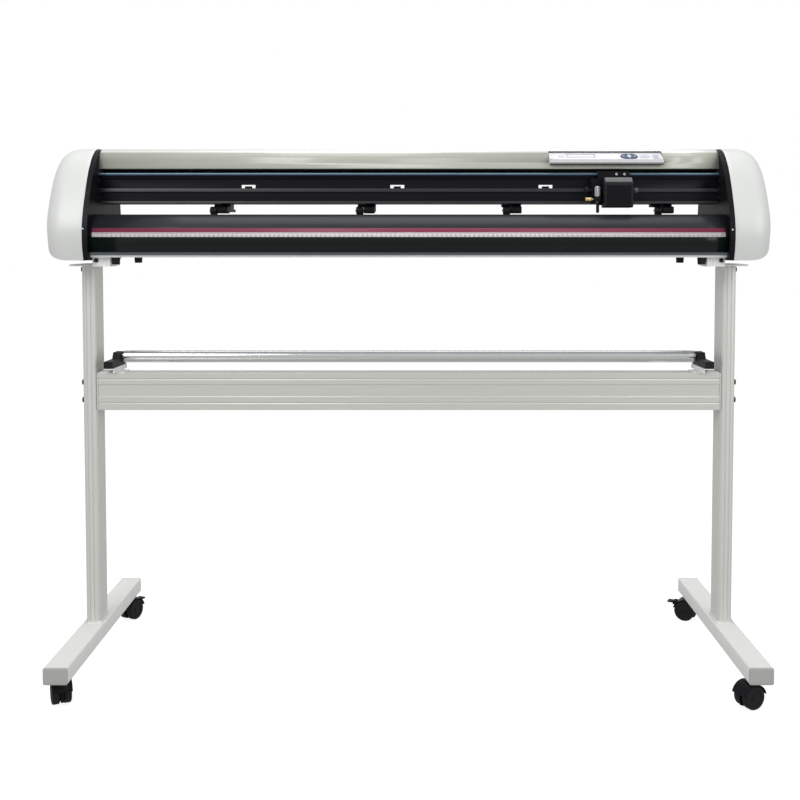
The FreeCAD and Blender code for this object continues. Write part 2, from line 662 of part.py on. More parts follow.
def foot_cap(x, side):
    half = FOOT_LENGTH / 2
    reach = FOOT_HALF_WIDTH
    plate = rounded_box(x - reach, x + reach, half - FOOT_CAP, half, FOOT_BOTTOM, FOOT_TOP, Y_AXIS, 4)
    plate = plate.makeFillet(1.2, [e for e in plate.Edges if abs(e.CenterOfMass.y - half) < 0.01])
    plug = box(x - 22.9, x + 22.9, half - 14, half - FOOT_CAP, FOOT_BOTTOM + 2.1, FOOT_TOP - 2.1)
    cap = join([plate, plug])
    if side < 0:
        cap = cap.mirror(V(0, 0, 0), Y_AXIS)
    return cap


def column(x):
    """Flat-oval extrusion with long grooves, on a welded ring at the foot."""
    half_w = COLUMN_WIDTH / 2
    half_d = COLUMN_DEPTH / 2
    outer = rounded_box(x - half_w, x + half_w, -half_d, half_d, FOOT_TOP, COLUMN_TOP, Z_AXIS, 10)
    wall = COLUMN_WALL
    inner = rounded_box(x - half_w + wall + 1, x + half_w - wall - 1, -half_d + wall + 1, half_d - wall - 1,
                        FOOT_TOP - 1, COLUMN_TOP + 1, Z_AXIS, 6.5)
    post = outer.cut(inner)
    for y in (-half_d, half_d):
        for shift in (-5, 5):
            post = post.cut(rod(x + shift, y, FOOT_TOP - 1, Z_AXIS, 1.4, COLUMN_TOP))
    for side in (-half_w, half_w):
        for y in (-16, 0, 16):
            post = post.cut(rod(x + side, y, FOOT_TOP - 1, Z_AXIS, 1.4, COLUMN_TOP))
    ring = rounded_box(x - half_w - 3, x + half_w + 3, -half_d - 6, half_d + 6,
                       FOOT_TOP, FOOT_TOP + 2.5, Z_AXIS, 13)
    return join([post, ring.cut(inner)])


def crossbar():
    """Broad hollow rail between the columns, with shallow full-length grooves."""
    half = LEG_X - COLUMN_WIDTH / 2 - 3
    outer = rounded_box(-half, half, CROSSBAR_FRONT, CROSSBAR_REAR, CROSSBAR_BOTTOM, CROSSBAR_TOP, X_AXIS, 3)
    inner = box(-half - 1, half + 1, CROSSBAR_FRONT + 3.5, CROSSBAR_REAR - 3.5,
                CROSSBAR_BOTTOM + 3.5, CROSSBAR_TOP - 3.5)
    rail = outer.cut(inner)
    for z in (CROSSBAR_TOP - 13, CROSSBAR_TOP - 26, CROSSBAR_BOTTOM + 15, CROSSBAR_BOTTOM + 30):
        rail = rail.cut(box(-half - 1, half + 1, CROSSBAR_FRONT - 1, CROSSBAR_FRONT + 1, z, z + 1.6))
        rail = rail.cut(box(-half - 1, half + 1, CROSSBAR_REAR - 1, CROSSBAR_REAR + 1, z, z + 1.6))
    return rail


def head_bracket():
    """Right-hand plate and channel between the column and the machine."""
    plate = rounded_box(672, 752, -62, 62, COLUMN_TOP, COLUMN_TOP + 4, Z_AXIS, 6)
    channel = box(648, 687, -105, -50, COLUMN_TOP, PAN_Z)
    hollow = box(651.5, 683.5, -101.5, -53.5, COLUMN_TOP - 1, PAN_Z - 4)
    rear_post = box(672, 687, 28, 62, COLUMN_TOP, PAN_Z)
    bracket = join([plate, channel.cut(hollow), rear_post])
    for rib in range(4):
        x = 651 + 3.6 * rib
        bracket = bracket.cut(box(x, x + 1.6, -106, -104.2, COLUMN_TOP + 2, PAN_Z - 2))
    return bracket


def crossbar_end():
    """Plate that closes the crossbar and bolts to the right column."""
    inner_face = LEG_X - COLUMN_WIDTH / 2
    return box(inner_face - 3, inner_face, CROSSBAR_FRONT, CROSSBAR_REAR, CROSSBAR_BOTTOM, CROSSBAR_TOP)


def cradle_bracket():
    """Folded sheet on the crossbar, under the right roller cradle."""
    inner_face = LEG_X - COLUMN_WIDTH / 2
    foot = box(640, inner_face - 4, CROSSBAR_FRONT + 4, CROSSBAR_REAR, CROSSBAR_TOP, CROSSBAR_TOP + 2)
    web = box(CRADLE_IN, CRADLE_IN + 2, -44, 68, CROSSBAR_TOP, 676)
    shelf = box(CRADLE_IN, CRADLE_OUT, -47, 68, 674, 676)
    return join([foot, web, shelf])


def roll_cradle():
    """Right-hand black block with a raised, open-topped journal seat."""
    bar = rounded_box(CRADLE_IN + 2, CRADLE_OUT, -47, 68, 676, 692, Y_AXIS, 1.5)
    seat = polygon_prism([V(CRADLE_IN + 2, 14, 690), V(CRADLE_IN + 2, 24, 706), V(CRADLE_IN + 2, 56, 706),
                          V(CRADLE_IN + 2, 66, 690)], V(18, 0, 0))
    block = join([bar, seat])
    slot = join([rod(CRADLE_IN, ROLL_Y, ROLL_Z, X_AXIS, 5 + RUN, 24),
                 box(CRADLE_IN, CRADLE_IN + 24, ROLL_Y - 5 - RUN, ROLL_Y + 5 + RUN, ROLL_Z, 712)])
    return block.cut(slot)


def media_roller():
    """Bright tube with a turned plug and journal in each end."""
    barrel = tube(-ROLL_HALF, ROLL_Y, ROLL_Z, X_AXIS, ROLL_R, ROLL_R - 1.5, 2 * ROLL_HALF)
    plug = rod(ROLL_HALF - 22, ROLL_Y, ROLL_Z, X_AXIS, ROLL_R - 1.5, 22)
    collar = rod(ROLL_HALF, ROLL_Y, ROLL_Z, X_AXIS, ROLL_R, 3)
    journal = rod(ROLL_HALF, ROLL_Y, ROLL_Z, X_AXIS, 5.0, CRADLE_OUT - ROLL_HALF - 1)
    end = join([plug, collar, journal])
    return [barrel, end, mirrored(end)]


# ---- casters ----
BRAKE_X = CASTER_TRAIL + 29.0
BRAKE_Z = 41.0
BRAKED = ("rear_left", "rear_right")
CASTERS = {
    "front_left": (-1, -1, (-0.42, 0.91)),
    "front_right": (1, -1, (-0.9, -0.436)),
    "rear_left": (-1, 1, (0.42, 0.91)),
    "rear_right": (1, 1, (-0.88, 0.475)),
}


def at_caster(shape, name):
    """Turn a shape whose wheel trails along +x, and set it under its foot."""
    side_x, side_y, trail = CASTERS[name]
    shape.rotate(V(0, 0, 0), Z_AXIS, math.degrees(math.atan2(trail[1], trail[0])))
    shape.translate(V(side_x * LEG_X, side_y * CASTER_Y, 0))
    return shape


def caster_hood(name):
    """Swivelling hood: round shell over the wheels, middle web, axle and stem boss."""
    reach = WHEEL_OFFSET + WHEEL_WIDTH / 2 + 1
    drum = rod(CASTER_TRAIL, -reach, WHEEL_R, Y_AXIS, WHEEL_R + 3.2, 2 * reach)
    bore = rod(CASTER_TRAIL, -reach - 1, WHEEL_R, Y_AXIS, WHEEL_R + 0.8, 2 * reach + 2)
    keep = box(-20, 60, -30, 30, WHEEL_R + 6, 60)
    shell = drum.cut(bore).common(keep)
    web = rod(CASTER_TRAIL, -2.6, WHEEL_R, Y_AXIS, WHEEL_R + 3, 5.2)
    web = web.cut(box(-60, 60, -30, 30, -10, 8))
    boss = rod(0, 0, 34, Z_AXIS, 10.5, FOOT_BOTTOM - 2 - GAP - 34)
    boss = boss.cut(rod(CASTER_TRAIL, -30, WHEEL_R, Y_AXIS, WHEEL_R + 0.8, 27.4))
    boss = boss.cut(rod(CASTER_TRAIL, 2.6, WHEEL_R, Y_AXIS, WHEEL_R + 0.8, 27.4))
    axle = rod(CASTER_TRAIL, -reach + 1, WHEEL_R, Y_AXIS, 3.0, 2 * reach - 2)
    pieces = [shell, web, boss, axle]
    if name in BRAKED:
        lugs = [box(BRAKE_X - 8, BRAKE_X + 2.5, y, y + 2, 36, 45) for y in (-9.3, 7.3)]
        pieces += [lug.cut(bore) for lug in lugs]
        pieces.append(rod(BRAKE_X, -9.3, BRAKE_Z, Y_AXIS, 1.5, 18.6))
    hood = join(pieces)
    hood = hood.cut(rod(0, 0, STEM_BOTTOM - 0.5, Z_AXIS, STEM_R + RUN, 20))
    return at_caster(hood, name)


def caster_wheels(name):
    """Two soft-edged wheels that share one axle."""
    wheels = []
    for side in (-1, 1):
        start = side * WHEEL_OFFSET - WHEEL_WIDTH / 2
        wheel = rod(CASTER_TRAIL, start, WHEEL_R, Y_AXIS, WHEEL_R, WHEEL_WIDTH)
        wheel = wheel.makeFillet(2.5, [e for e in wheel.Edges if isinstance(e.Curve, Part.Circle)])
        face = start + (WHEEL_WIDTH - 2 if side > 0 else -1)
        wheel = wheel.cut(rod(CASTER_TRAIL, face, WHEEL_R, Y_AXIS, 17, 3))
        wheel = wheel.cut(rod(CASTER_TRAIL, start - 1, WHEEL_R, Y_AXIS, 3.0 + RUN, WHEEL_WIDTH + 2))
        wheels.append(at_caster(wheel, name))
    return wheels


def caster_brake(name):
    """Foot tab behind the hood, pressed down to lock the wheels."""
    tab = box(BRAKE_X + 3.5, BRAKE_X + 16, -9, 9, BRAKE_Z - 1.5, BRAKE_Z + 2)
    neck = box(BRAKE_X, BRAKE_X + 4, -7, 7, BRAKE_Z - 1.5, BRAKE_Z + 2)
    barrel = rod(BRAKE_X, -7, BRAKE_Z, Y_AXIS, 3, 14)
    lever = join([tab, neck, barrel])
    return at_caster(lever.cut(rod(BRAKE_X, -10, BRAKE_Z, Y_AXIS, 1.5 + RUN, 20)), name)


# ---- fasteners ----
def bolt(x, y, z, axis, head_r, head_h, shank_r, shank):
    """Socket head bolt: the head sits outside (x, y, z), the shank goes in against axis."""
    head = rod(x, y, z, axis, head_r, head_h)
    key = rod(x + axis.x * head_h * 0.5, y + axis.y * head_h * 0.5, z + axis.z * head_h * 0.5,
              axis, head_r * 0.5, head_h)
    head = head.cut(key)
    if shank:
        body = rod(x, y, z, -axis, shank_r, shank)
        head = join([head, body])
    return head


def caster_stem(x, y):
    """Threaded stem with its flange under the foot tube and a nut inside it."""
    stem = rod(x, y, STEM_BOTTOM, Z_AXIS, STEM_R, 30)
    flange = rod(x, y, FOOT_BOTTOM - 2, Z_AXIS, 11, 2)
    nut = rod(x, y, FOOT_BOTTOM + FOOT_WALL, Z_AXIS, 8.5, 6)
    return join([stem, flange, nut])


def fasteners():
    """Caster stems, stand bolts and side plate screws, as separate solids."""
    group = []
    for side in (-1, 1):
        outward = X_AXIS * side
        inward = X_AXIS * -side
        for y in (-CASTER_Y, CASTER_Y):
            group.append(caster_stem(side * LEG_X, y))
        group.append(bolt(side * 678, -105, 919.5, -Y_AXIS, 4.5, 4, 2.5, 0))
        for z in (CROSSBAR_BOTTOM + 22, CROSSBAR_TOP - 22):
            for y in (-20, 8):
                group.append(bolt(side * (LEG_X + COLUMN_WIDTH / 2), y, z, outward, 6, 4, 3, 0))
        for z in (1056, 1076, 1096):
            group.append(bolt(side * PLATE_IN, -52, z, inward, 3.4, 2.4, 2, 0))
        group.append(bolt(side * (LEG_X + COLUMN_WIDTH / 2), -16, COLUMN_TOP - 8, outward, 5.5, 4, 3, 0))
    return group


def build():
    os.makedirs("parts", exist_ok=True)
    save("foot_tubes", [foot_tube(-LEG_X), foot_tube(LEG_X)])
    save("foot_end_caps", [foot_cap(x, side) for x in (-LEG_X, LEG_X) for side in (-1, 1)])
    save("columns", [column(-LEG_X), column(LEG_X)])
    save("crossbar", crossbar())
    right_brackets = [head_bracket(), crossbar_end(), cradle_bracket()]
    save("stand_brackets", right_brackets + [mirrored(part) for part in right_brackets])
    save("roll_cradles", [roll_cradle(), mirrored(roll_cradle())])
    save("media_roller", media_roller())
    for name in CASTERS:
        save("caster_hood_" + name, caster_hood(name))
        save("caster_wheels_" + name, caster_wheels(name))
    for name in BRAKED:
        save("caster_brake_" + name, caster_brake(name))
    save("fasteners", fasteners())

    save("end_cover_right", end_cover())
    save("end_cover_left", mirrored(end_cover()))
    save("side_plate_right", [side_plate(), motor_bracket()])
    save("side_plate_left", [mirrored(side_plate()), idler_bracket(), feed_motor_bracket()])
    save("main_beam", main_beam())
    save("top_cover", top_cover())
    save("base_pan", base_pan())
    save("platen", platen())
    save("ruler_strip", ruler_strip())
    save("cutting_strip", cutting_strip())
    save("rubber_feet", rubber_feet())

    save("grit_shaft", [grit_shaft(), feed_gear()])
    save("feed_pinion", feed_pinion())
    save("stepper_motors", stepper_motors())
    save("guide_rail", guide_rail())
    save("drive_belt", drive_belt())
    save("drive_pulley", belt_pulley(PULLEY_X, 3.2 + RUN))
    save("idler_pulley", belt_pulley(-PULLEY_X, 3.0 + RUN))
    save("carriage", carriage())
    save("carriage_cover", carriage_cover())
    save("tool_slide", tool_slide())
    save("tool_clamp_screw", tool_clamp_screw())
    save("blade", blade())
    for number, centre in enumerate(PINCH_CENTRES, 1):
        save("pinch_block_%d" % number, pinch_block(centre))
        save("pinch_arm_%d" % number, pinch_arm(centre))
        save("pinch_wheel_%d" % number, pinch_wheel(centre))

    save("control_console", control_console())
    save("display_window", display_window())
    save("arrow_pad", arrow_pad())
    save("mode_key", mode_key())
    save("electronics", electronics())
    save("power_inlet", power_inlet())
    save("power_switch", power_switch())


build()
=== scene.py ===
import json
import math

import bmesh
import bpy
import numpy as np
from mathutils import Matrix, Vector


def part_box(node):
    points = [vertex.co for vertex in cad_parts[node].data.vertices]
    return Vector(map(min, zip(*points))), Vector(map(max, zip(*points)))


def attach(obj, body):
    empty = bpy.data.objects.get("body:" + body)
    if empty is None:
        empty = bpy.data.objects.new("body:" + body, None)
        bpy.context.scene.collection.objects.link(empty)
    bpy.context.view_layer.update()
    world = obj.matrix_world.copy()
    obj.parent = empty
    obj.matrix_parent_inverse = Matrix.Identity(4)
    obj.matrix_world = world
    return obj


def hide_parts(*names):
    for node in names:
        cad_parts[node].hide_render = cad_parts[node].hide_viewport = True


# Looks of a floor-standing vinyl cutter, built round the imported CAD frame.
# Lengths are in millimetres in the frame's axes; mesh makers turn them into metres.

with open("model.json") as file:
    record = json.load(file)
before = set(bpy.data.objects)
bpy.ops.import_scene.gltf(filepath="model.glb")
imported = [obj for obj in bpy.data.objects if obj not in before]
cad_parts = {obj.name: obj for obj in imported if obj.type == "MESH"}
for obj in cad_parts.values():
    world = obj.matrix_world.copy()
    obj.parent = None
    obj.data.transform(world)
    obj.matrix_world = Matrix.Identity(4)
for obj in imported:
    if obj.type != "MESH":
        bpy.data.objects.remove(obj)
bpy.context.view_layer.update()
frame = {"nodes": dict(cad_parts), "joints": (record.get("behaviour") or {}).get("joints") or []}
MM = 0.001
MACHINE = "machine"


# ---- places taken from the frame ----
def box_mm(node):
    low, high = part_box(node)
    return low * 1000, high * 1000


plate_low, plate_high = box_mm("side_plate_right")
PLATE_OUT = box_mm("end_cover_right")[0].x
COVER_END = box_mm("end_cover_right")[1].x
HEAD_BOTTOM = plate_low.z
HALF_SPAN = box_mm("platen")[1].x
PLATEN_Z = box_mm("platen")[1].z
PINCH_CENTRES = [box_mm("pinch_block_%d" % n)[0].x + 19 for n in (1, 2, 3, 4)]


# ---- materials ----
def shader(name):
    material = bpy.data.materials.new(name)
    material.use_nodes = True
    return material, material.node_tree.nodes, material.node_tree.links


def finish(name, colour, rough, metal=0.0, vary=0.05, grain=40.0, stretch=(1, 1, 1),
           rough_vary=0.05, bump=0.0, bump_scale=900.0, coat=0.0, coat_rough=0.1, specular=0.5):
    """A procedural surface: broad colour and gloss variation, and a fine relief."""
    material, nodes, links = shader(name)
    surface = nodes["Principled BSDF"]
    surface.inputs["Metallic"].default_value = metal
    surface.inputs["Coat Weight"].default_value = coat
    surface.inputs["Coat Roughness"].default_value = coat_rough
    surface.inputs["Specular IOR Level"].default_value = specular
    place = nodes.new("ShaderNodeTexCoord")
    mapping = nodes.new("ShaderNodeMapping")
    mapping.inputs["Scale"].default_value = stretch
    links.new(place.outputs["Object"], mapping.inputs["Vector"])
    broad = nodes.new("ShaderNodeTexNoise")
    broad.inputs["Scale"].default_value = grain
    broad.inputs["Detail"].default_value = 5.0
    links.new(mapping.outputs["Vector"], broad.inputs["Vector"])
    tint = nodes.new("ShaderNodeMix")
    tint.data_type = "RGBA"
    tint.inputs["A"].default_value = [c * (1 - vary) for c in colour] + [1]
    tint.inputs["B"].default_value = [min(1.0, c * (1 + vary)) for c in colour] + [1]
    links.new(broad.outputs["Fac"], tint.inputs["Factor"])
    links.new(tint.outputs["Result"], surface.inputs["Base Color"])
    gloss = nodes.new("ShaderNodeMapRange")
    gloss.inputs["To Min"].default_value = max(0.02, rough - rough_vary)
    gloss.inputs["To Max"].default_value = rough + rough_vary
    links.new(broad.outputs["Fac"], gloss.inputs["Value"])
    links.new(gloss.outputs["Result"], surface.inputs["Roughness"])
    if bump:
        fine = nodes.new("ShaderNodeTexNoise")
        fine.inputs["Scale"].default_value = bump_scale
        fine.inputs["Detail"].default_value = 3.0
        links.new(mapping.outputs["Vector"], fine.inputs["Vector"])
        relief = nodes.new("ShaderNodeBump")
        relief.inputs["Strength"].default_value = bump
        relief.inputs["Distance"].default_value = 0.0004
        links.new(fine.outputs["Fac"], relief.inputs["Height"])
        links.new(relief.outputs["Normal"], surface.inputs["Normal"])
    return material


ALONG_X = (0.03, 1, 1)
ALONG_Z = (1, 1, 0.03)
grey_paint = finish("powder_coat_grey", (0.74, 0.74, 0.72), 0.42, vary=0.03, bump=0.25, bump_scale=700)
bracket_white = finish("powder_coat_white", (0.80, 0.80, 0.79), 0.42, vary=0.03, bump=0.25, bump_scale=700)
upright_aluminium = finish("anodised_upright", (0.69, 0.70, 0.66), 0.42, metal=0.4, vary=0.035,
                           grain=260, stretch=ALONG_Z, bump=0.05, bump_scale=1500)
rail_aluminium = finish("anodised_rail", (0.61, 0.62, 0.575), 0.44, metal=0.35, vary=0.035,
                        grain=260, stretch=ALONG_X, bump=0.05, bump_scale=1500)
cap_grey = finish("grey_cap_plastic", (0.40, 0.40, 0.385), 0.5, vary=0.04, bump=0.3, bump_scale=1100)
shell_white = finish("shell_plastic", (0.61, 0.622, 0.61), 0.36, vary=0.015, grain=5, rough_vary=0.02,
                     bump=0.08, bump_scale=1300, coat=0.12, coat_rough=0.3)
black_paint = finish("black_powder_coat", (0.006, 0.006, 0.008), 0.42, vary=0.25, bump=0.3, bump_scale=900,
                     specular=0.12)
black_beam = finish("black_anodised_beam", (0.006, 0.0065, 0.010), 0.38, vary=0.2, grain=220,
                    stretch=ALONG_X, bump=0.05, bump_scale=1600, specular=0.12)
# Lighter copy of the black beam finish for the rib and nose strips: a painted highlight standing for light
# caught along these bands.
beam_highlight_black = finish("beam_anodised_painted_highlight", (0.022, 0.023, 0.028), 0.36, vary=0.15, grain=220, stretch=ALONG_X,
                   specular=0.35)
platen_grey = finish("platen_anodised", (0.018, 0.021, 0.026), 0.36, metal=0.1, vary=0.10, grain=260,
                     stretch=ALONG_X, rough_vary=0.02, bump=0.03, bump_scale=1600, specular=0.3)
apron_black = finish("apron_gloss", (0.005, 0.009, 0.008), 0.2, vary=0.15, grain=14, rough_vary=0.02,
                     coat=0.12, coat_rough=0.1, specular=0.15)
lip_grey = finish("lip_anodised", (0.075, 0.088, 0.098), 0.35, metal=0.4, vary=0.08, grain=200,
                  stretch=ALONG_X)
cover_beige = finish("cover_beige", (0.43, 0.435, 0.378), 0.3, vary=0.012, grain=4, rough_vary=0.01,
                     bump=0.04,
                     bump_scale=1200, coat=0.25, coat_rough=0.15)
# Near-white copy of the beige cover finish for the lip bead and the end flanges: a painted highlight along
# the cover's edges.
cover_edge_highlight = finish("cover_edge_painted_highlight", (0.90, 0.90, 0.86), 0.25, vary=0.02, stretch=ALONG_X, coat=0.2)
# Near-white copy of the beige cover finish, laid on the cover's crown: a painted highlight where light
# catches the top.
cover_top_highlight = finish("cover_top_painted_highlight", (0.84, 0.84, 0.80), 0.3, vary=0.015, grain=4, rough_vary=0.02,
                   coat=0.2)
scale_red = finish("scale_red", (0.215, 0.034, 0.066), 0.35, vary=0.06, grain=7, stretch=(0.3, 1, 1),
                   specular=0.3)
scale_dark = finish("scale_dark", (0.05, 0.04, 0.05), 0.4, vary=0.2, specular=0.2)
scale_white = finish("scale_white", (0.66, 0.62, 0.63), 0.5, vary=0.05)
steel = finish("ground_steel", (0.52, 0.53, 0.55), 0.28, metal=1.0, vary=0.06, grain=300, bump=0.03)
# Light blue tint on the rail's top bar: a painted reflection for the bright bluish line of light along the
# rail, not a blued finish.
rail_reflection_blue = finish("rail_steel_painted_reflection", (0.16, 0.27, 0.37), 0.3, metal=0.5, vary=0.08, grain=200,
                    stretch=ALONG_X)
rail_blue = finish("rail_base_blue", (0.012, 0.02, 0.036), 0.36, vary=0.12, grain=200, stretch=ALONG_X,
                   specular=0.25)
dark_steel = finish("blackened_steel", (0.03, 0.03, 0.032), 0.4, metal=0.8, vary=0.2, bump=0.1)
chrome = finish("roller_chrome", (0.78, 0.79, 0.80), 0.12, metal=1.0, vary=0.02, grain=200, rough_vary=0.02,
                stretch=ALONG_X)
brass = finish("turned_brass", (0.78, 0.60, 0.27), 0.3, metal=0.9, vary=0.08, grain=300, bump=0.05)
black_plastic = finish("black_moulded_plastic", (0.010, 0.010, 0.011), 0.45, vary=0.2, bump=0.35,
                       bump_scale=1000,
                       specular=0.2)
gloss_black = finish("black_gloss_plastic", (0.005, 0.005, 0.007), 0.28, vary=0.2, bump=0.1, bump_scale=900,
                     specular=0.14)
tyre_rubber = finish("wheel_rubber", (0.011, 0.011, 0.011), 0.55, vary=0.25, bump=0.4, bump_scale=1200,
                     specular=0.2)
foot_rubber = finish("foot_rubber", (0.009, 0.009, 0.010), 0.6, vary=0.2, bump=0.4, bump_scale=900,
                     specular=0.2)
belt_rubber = finish("belt_rubber", (0.010, 0.010, 0.011), 0.6, vary=0.2, bump=0.3, specular=0.15)
bevel_grey = finish("carriage_bevel", (0.085, 0.088, 0.090), 0.36, vary=0.25, grain=90, bump=0.3,
                    bump_scale=900)
panel_white = finish("panel_plastic", (0.62, 0.62, 0.645), 0.4, vary=0.015, grain=9, bump=0.08,
                     bump_scale=1300)
label_white = finish("label_white", (0.66, 0.655, 0.69), 0.4, vary=0.02)
label_lilac = finish("label_lilac", (0.34, 0.34, 0.44), 0.4, vary=0.05)
key_blue = finish("key_blue", (0.028, 0.050, 0.12), 0.4, vary=0.1, specular=0.3)
key_grey = finish("key_grey", (0.50, 0.53, 0.57), 0.4, vary=0.05)
glass_dark = finish("display_glass", (0.10, 0.10, 0.16), 0.14, vary=0.10, grain=25, coat=0.3,
                    coat_rough=0.08)
board_green = finish("circuit_board", (0.012, 0.12, 0.045), 0.35, vary=0.2, grain=160, coat=0.3)
strip_dark = finish("cutting_strip", (0.045, 0.047, 0.05), 0.55, vary=0.08, grain=100, stretch=ALONG_X,
                    bump=0.2)
pan_white = finish("pan_white", (0.84, 0.84, 0.84), 0.42, vary=0.03, grain=50, bump=0.2, bump_scale=700)


# ---- mesh makers ----
def put(name, verts, faces, material, body=MACHINE, nodes=(), slot=None, bevel=0.0, sharp=32, segments=2):
    """Makes one piece from millimetre points, rides it on body and lets it replace CAD nodes."""
    mesh = bpy.data.meshes.new(name)
    mesh.from_pydata([[c * MM for c in v] for v in verts], [], faces)
    return settle(name, mesh, material, body, nodes, slot, bevel, sharp, segments)


def settle(name, mesh, material, body, nodes=(), slot=None, bevel=0.0, sharp=32, segments=2):
    work = bmesh.new()
    work.from_mesh(mesh)
    bmesh.ops.recalc_face_normals(work, faces=work.faces)
    work.to_mesh(mesh)
    work.free()
    mesh.polygons.foreach_set("use_smooth", [True] * len(mesh.polygons))
    mesh.set_sharp_from_angle(angle=math.radians(sharp))
    for each in material if isinstance(material, (list, tuple)) else [material]:
        mesh.materials.append(each)
    piece = bpy.data.objects.new(name, mesh)
    bpy.context.scene.collection.objects.link(piece)
    if bevel:
        rounding = piece.modifiers.new("edges", "BEVEL")
        rounding.width = bevel * MM
        rounding.segments = segments
        rounding.limit_method = "ANGLE"
        rounding.angle_limit = math.radians(sharp)
        rounding.harden_normals = False
    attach(piece, body)
    if nodes:
        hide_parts(*nodes)
    return piece


def refined(node, material, body=MACHINE, bevel=0.4, slot=None, sharp=30):
    """A CAD node's shape with soft edges and clean flat faces."""
    mesh = frame["nodes"][node].data.copy()
    mesh.materials.clear()
    work = bmesh.new()
    work.from_mesh(mesh)
    bmesh.ops.remove_doubles(work, verts=work.verts, dist=2e-6)
    bmesh.ops.dissolve_limit(work, angle_limit=math.radians(0.6), verts=work.verts, edges=work.edges)
    work.to_mesh(mesh)
    work.free()
    return settle(node + "_fine", mesh, material, body, [node], slot, bevel, sharp)


def rounded(corners, radius=0.0, steps=5):
    """Closed outline through (u, v) or (u, v, radius) corners, each corner an arc."""
    outline = []
    count = len(corners)
    for i, corner in enumerate(corners):
        here = Vector(corner[:2])
        r = corner[2] if len(corner) > 2 else radius
        before = Vector(corners[i - 1][:2]) - here
        after = Vector(corners[(i + 1) % count][:2]) - here
        if r <= 0 or before.length < 1e-9 or after.length < 1e-9:
            outline.append(tuple(here))
            continue
        a = before.normalized()
        b = after.normalized()
        opening = a.angle(b)
        reach = min(r / math.tan(opening / 2), 0.49 * before.length, 0.49 * after.length)
        r = reach * math.tan(opening / 2)
        centre = here + (a + b).normalized() * (r / math.sin(opening / 2))
        first = here + a * reach - centre
        last = here + b * reach - centre
        turn = math.pi - opening
        for step in range(steps + 1):
            share = step / steps
            mixed = first * math.sin((1 - share) * turn) + last * math.sin(share * turn)
            outline.append(tuple(centre + mixed / math.sin(turn)))
    return outline


def rectangle(u0, u1, v0, v1, radius=0.0, steps=5):
    return rounded([(u0, v0), (u1, v0), (u1, v1), (u0, v1)], radius, steps)


AXES = {"X": lambda u, v, w: (w, u, v), "Y": lambda u, v, w: (u, w, v), "Z": lambda u, v, w: (u, v, w)}


def prism(name, outline, axis, start, end, material, body=MACHINE, nodes=(), slot=None, bevel=0.0,
          sharp=32):
    """An outline run straight along an axis, closed at both ends."""
    at = AXES[axis]
    count = len(outline)
    verts = [at(u, v, start) for u, v in outline] + [at(u, v, end) for u, v in outline]
    faces = [[i, (i + 1) % count, count + (i + 1) % count, count + i] for i in range(count)]
    faces += [list(range(count))[::-1], list(range(count, 2 * count))]
    return put(name, verts, faces, material, body, nodes, slot, bevel, sharp)


def lathe_data(profile, axis, centre, segments=40, knurl=0.0, knurl_from=0.0):
    """(distance along axis, radius) pairs turned about an axis through centre.

    Every second point of a ring wider than knurl_from stands out by knurl.
    """
    verts = []
    faces = []
    rings = []
    for along, radius in profile:
        if radius < 1e-6:
            rings.append([len(verts)])
            offsets = [(0.0, 0.0)]
        else:
            rings.append(list(range(len(verts), len(verts) + segments)))
            offsets = []
            for i in range(segments):
                grown = radius + (knurl if i % 2 and radius > knurl_from else 0)
                angle = 2 * math.pi * i / segments
                offsets.append((grown * math.cos(angle), grown * math.sin(angle)))
        for u, v in offsets:
            p = {"X": (along, u, v), "Y": (u, along, v), "Z": (u, v, along)}[axis]
            verts.append(tuple(c + d for c, d in zip(centre, p)))
    for a, b in zip(rings, rings[1:]):
        for i in range(segments):
            j = (i + 1) % segments
            if len(a) == 1:
                faces.append([a[0], b[i], b[j]])
            elif len(b) == 1:
                faces.append([a[i], b[0], a[j]])
            else:
                faces.append([a[i], b[i], b[j], a[j]])
    return verts, faces


def lathe(name, profile, axis, centre, material, body=MACHINE, nodes=(), slot=None, segments=40,
          knurl=0.0, knurl_from=0.0, sharp=32):
    """One turned piece."""
    verts, faces = lathe_data(profile, axis, centre, segments, knurl, knurl_from)
    return put(name, verts, faces, material, body, nodes, slot, 0.0, sharp)


def smooth_curve(points, count):
    """Evenly spaced points on a natural cubic spline through points."""
    p = np.array(points, float)
    t = np.concatenate([[0], np.cumsum(np.linalg.norm(np.diff(p, axis=0), axis=1))])
    h = np.diff(t)
    n = len(p)
    system = np.eye(n)
    right = np.zeros((n, 2))
    for i in range(1, n - 1):
        system[i, i - 1:i + 2] = h[i - 1], 2 * (h[i - 1] + h[i]), h[i]
        right[i] = 6 * ((p[i + 1] - p[i]) / h[i] - (p[i] - p[i - 1]) / h[i - 1])
    bend = np.linalg.solve(system, right)
    curve = []
    for s in np.linspace(0, t[-1], count):
        i = int(min(max(np.searchsorted(t, s, side="right") - 1, 0), n - 2))
        before = t[i + 1] - s
        after = s - t[i]
        place = (bend[i] * before ** 3 + bend[i + 1] * after ** 3) / (6 * h[i])
        place = place + (p[i] / h[i] - bend[i] * h[i] / 6) * before
        place = place + (p[i + 1] / h[i] - bend[i + 1] * h[i] / 6) * after
        curve.append(tuple(place))
    return curve


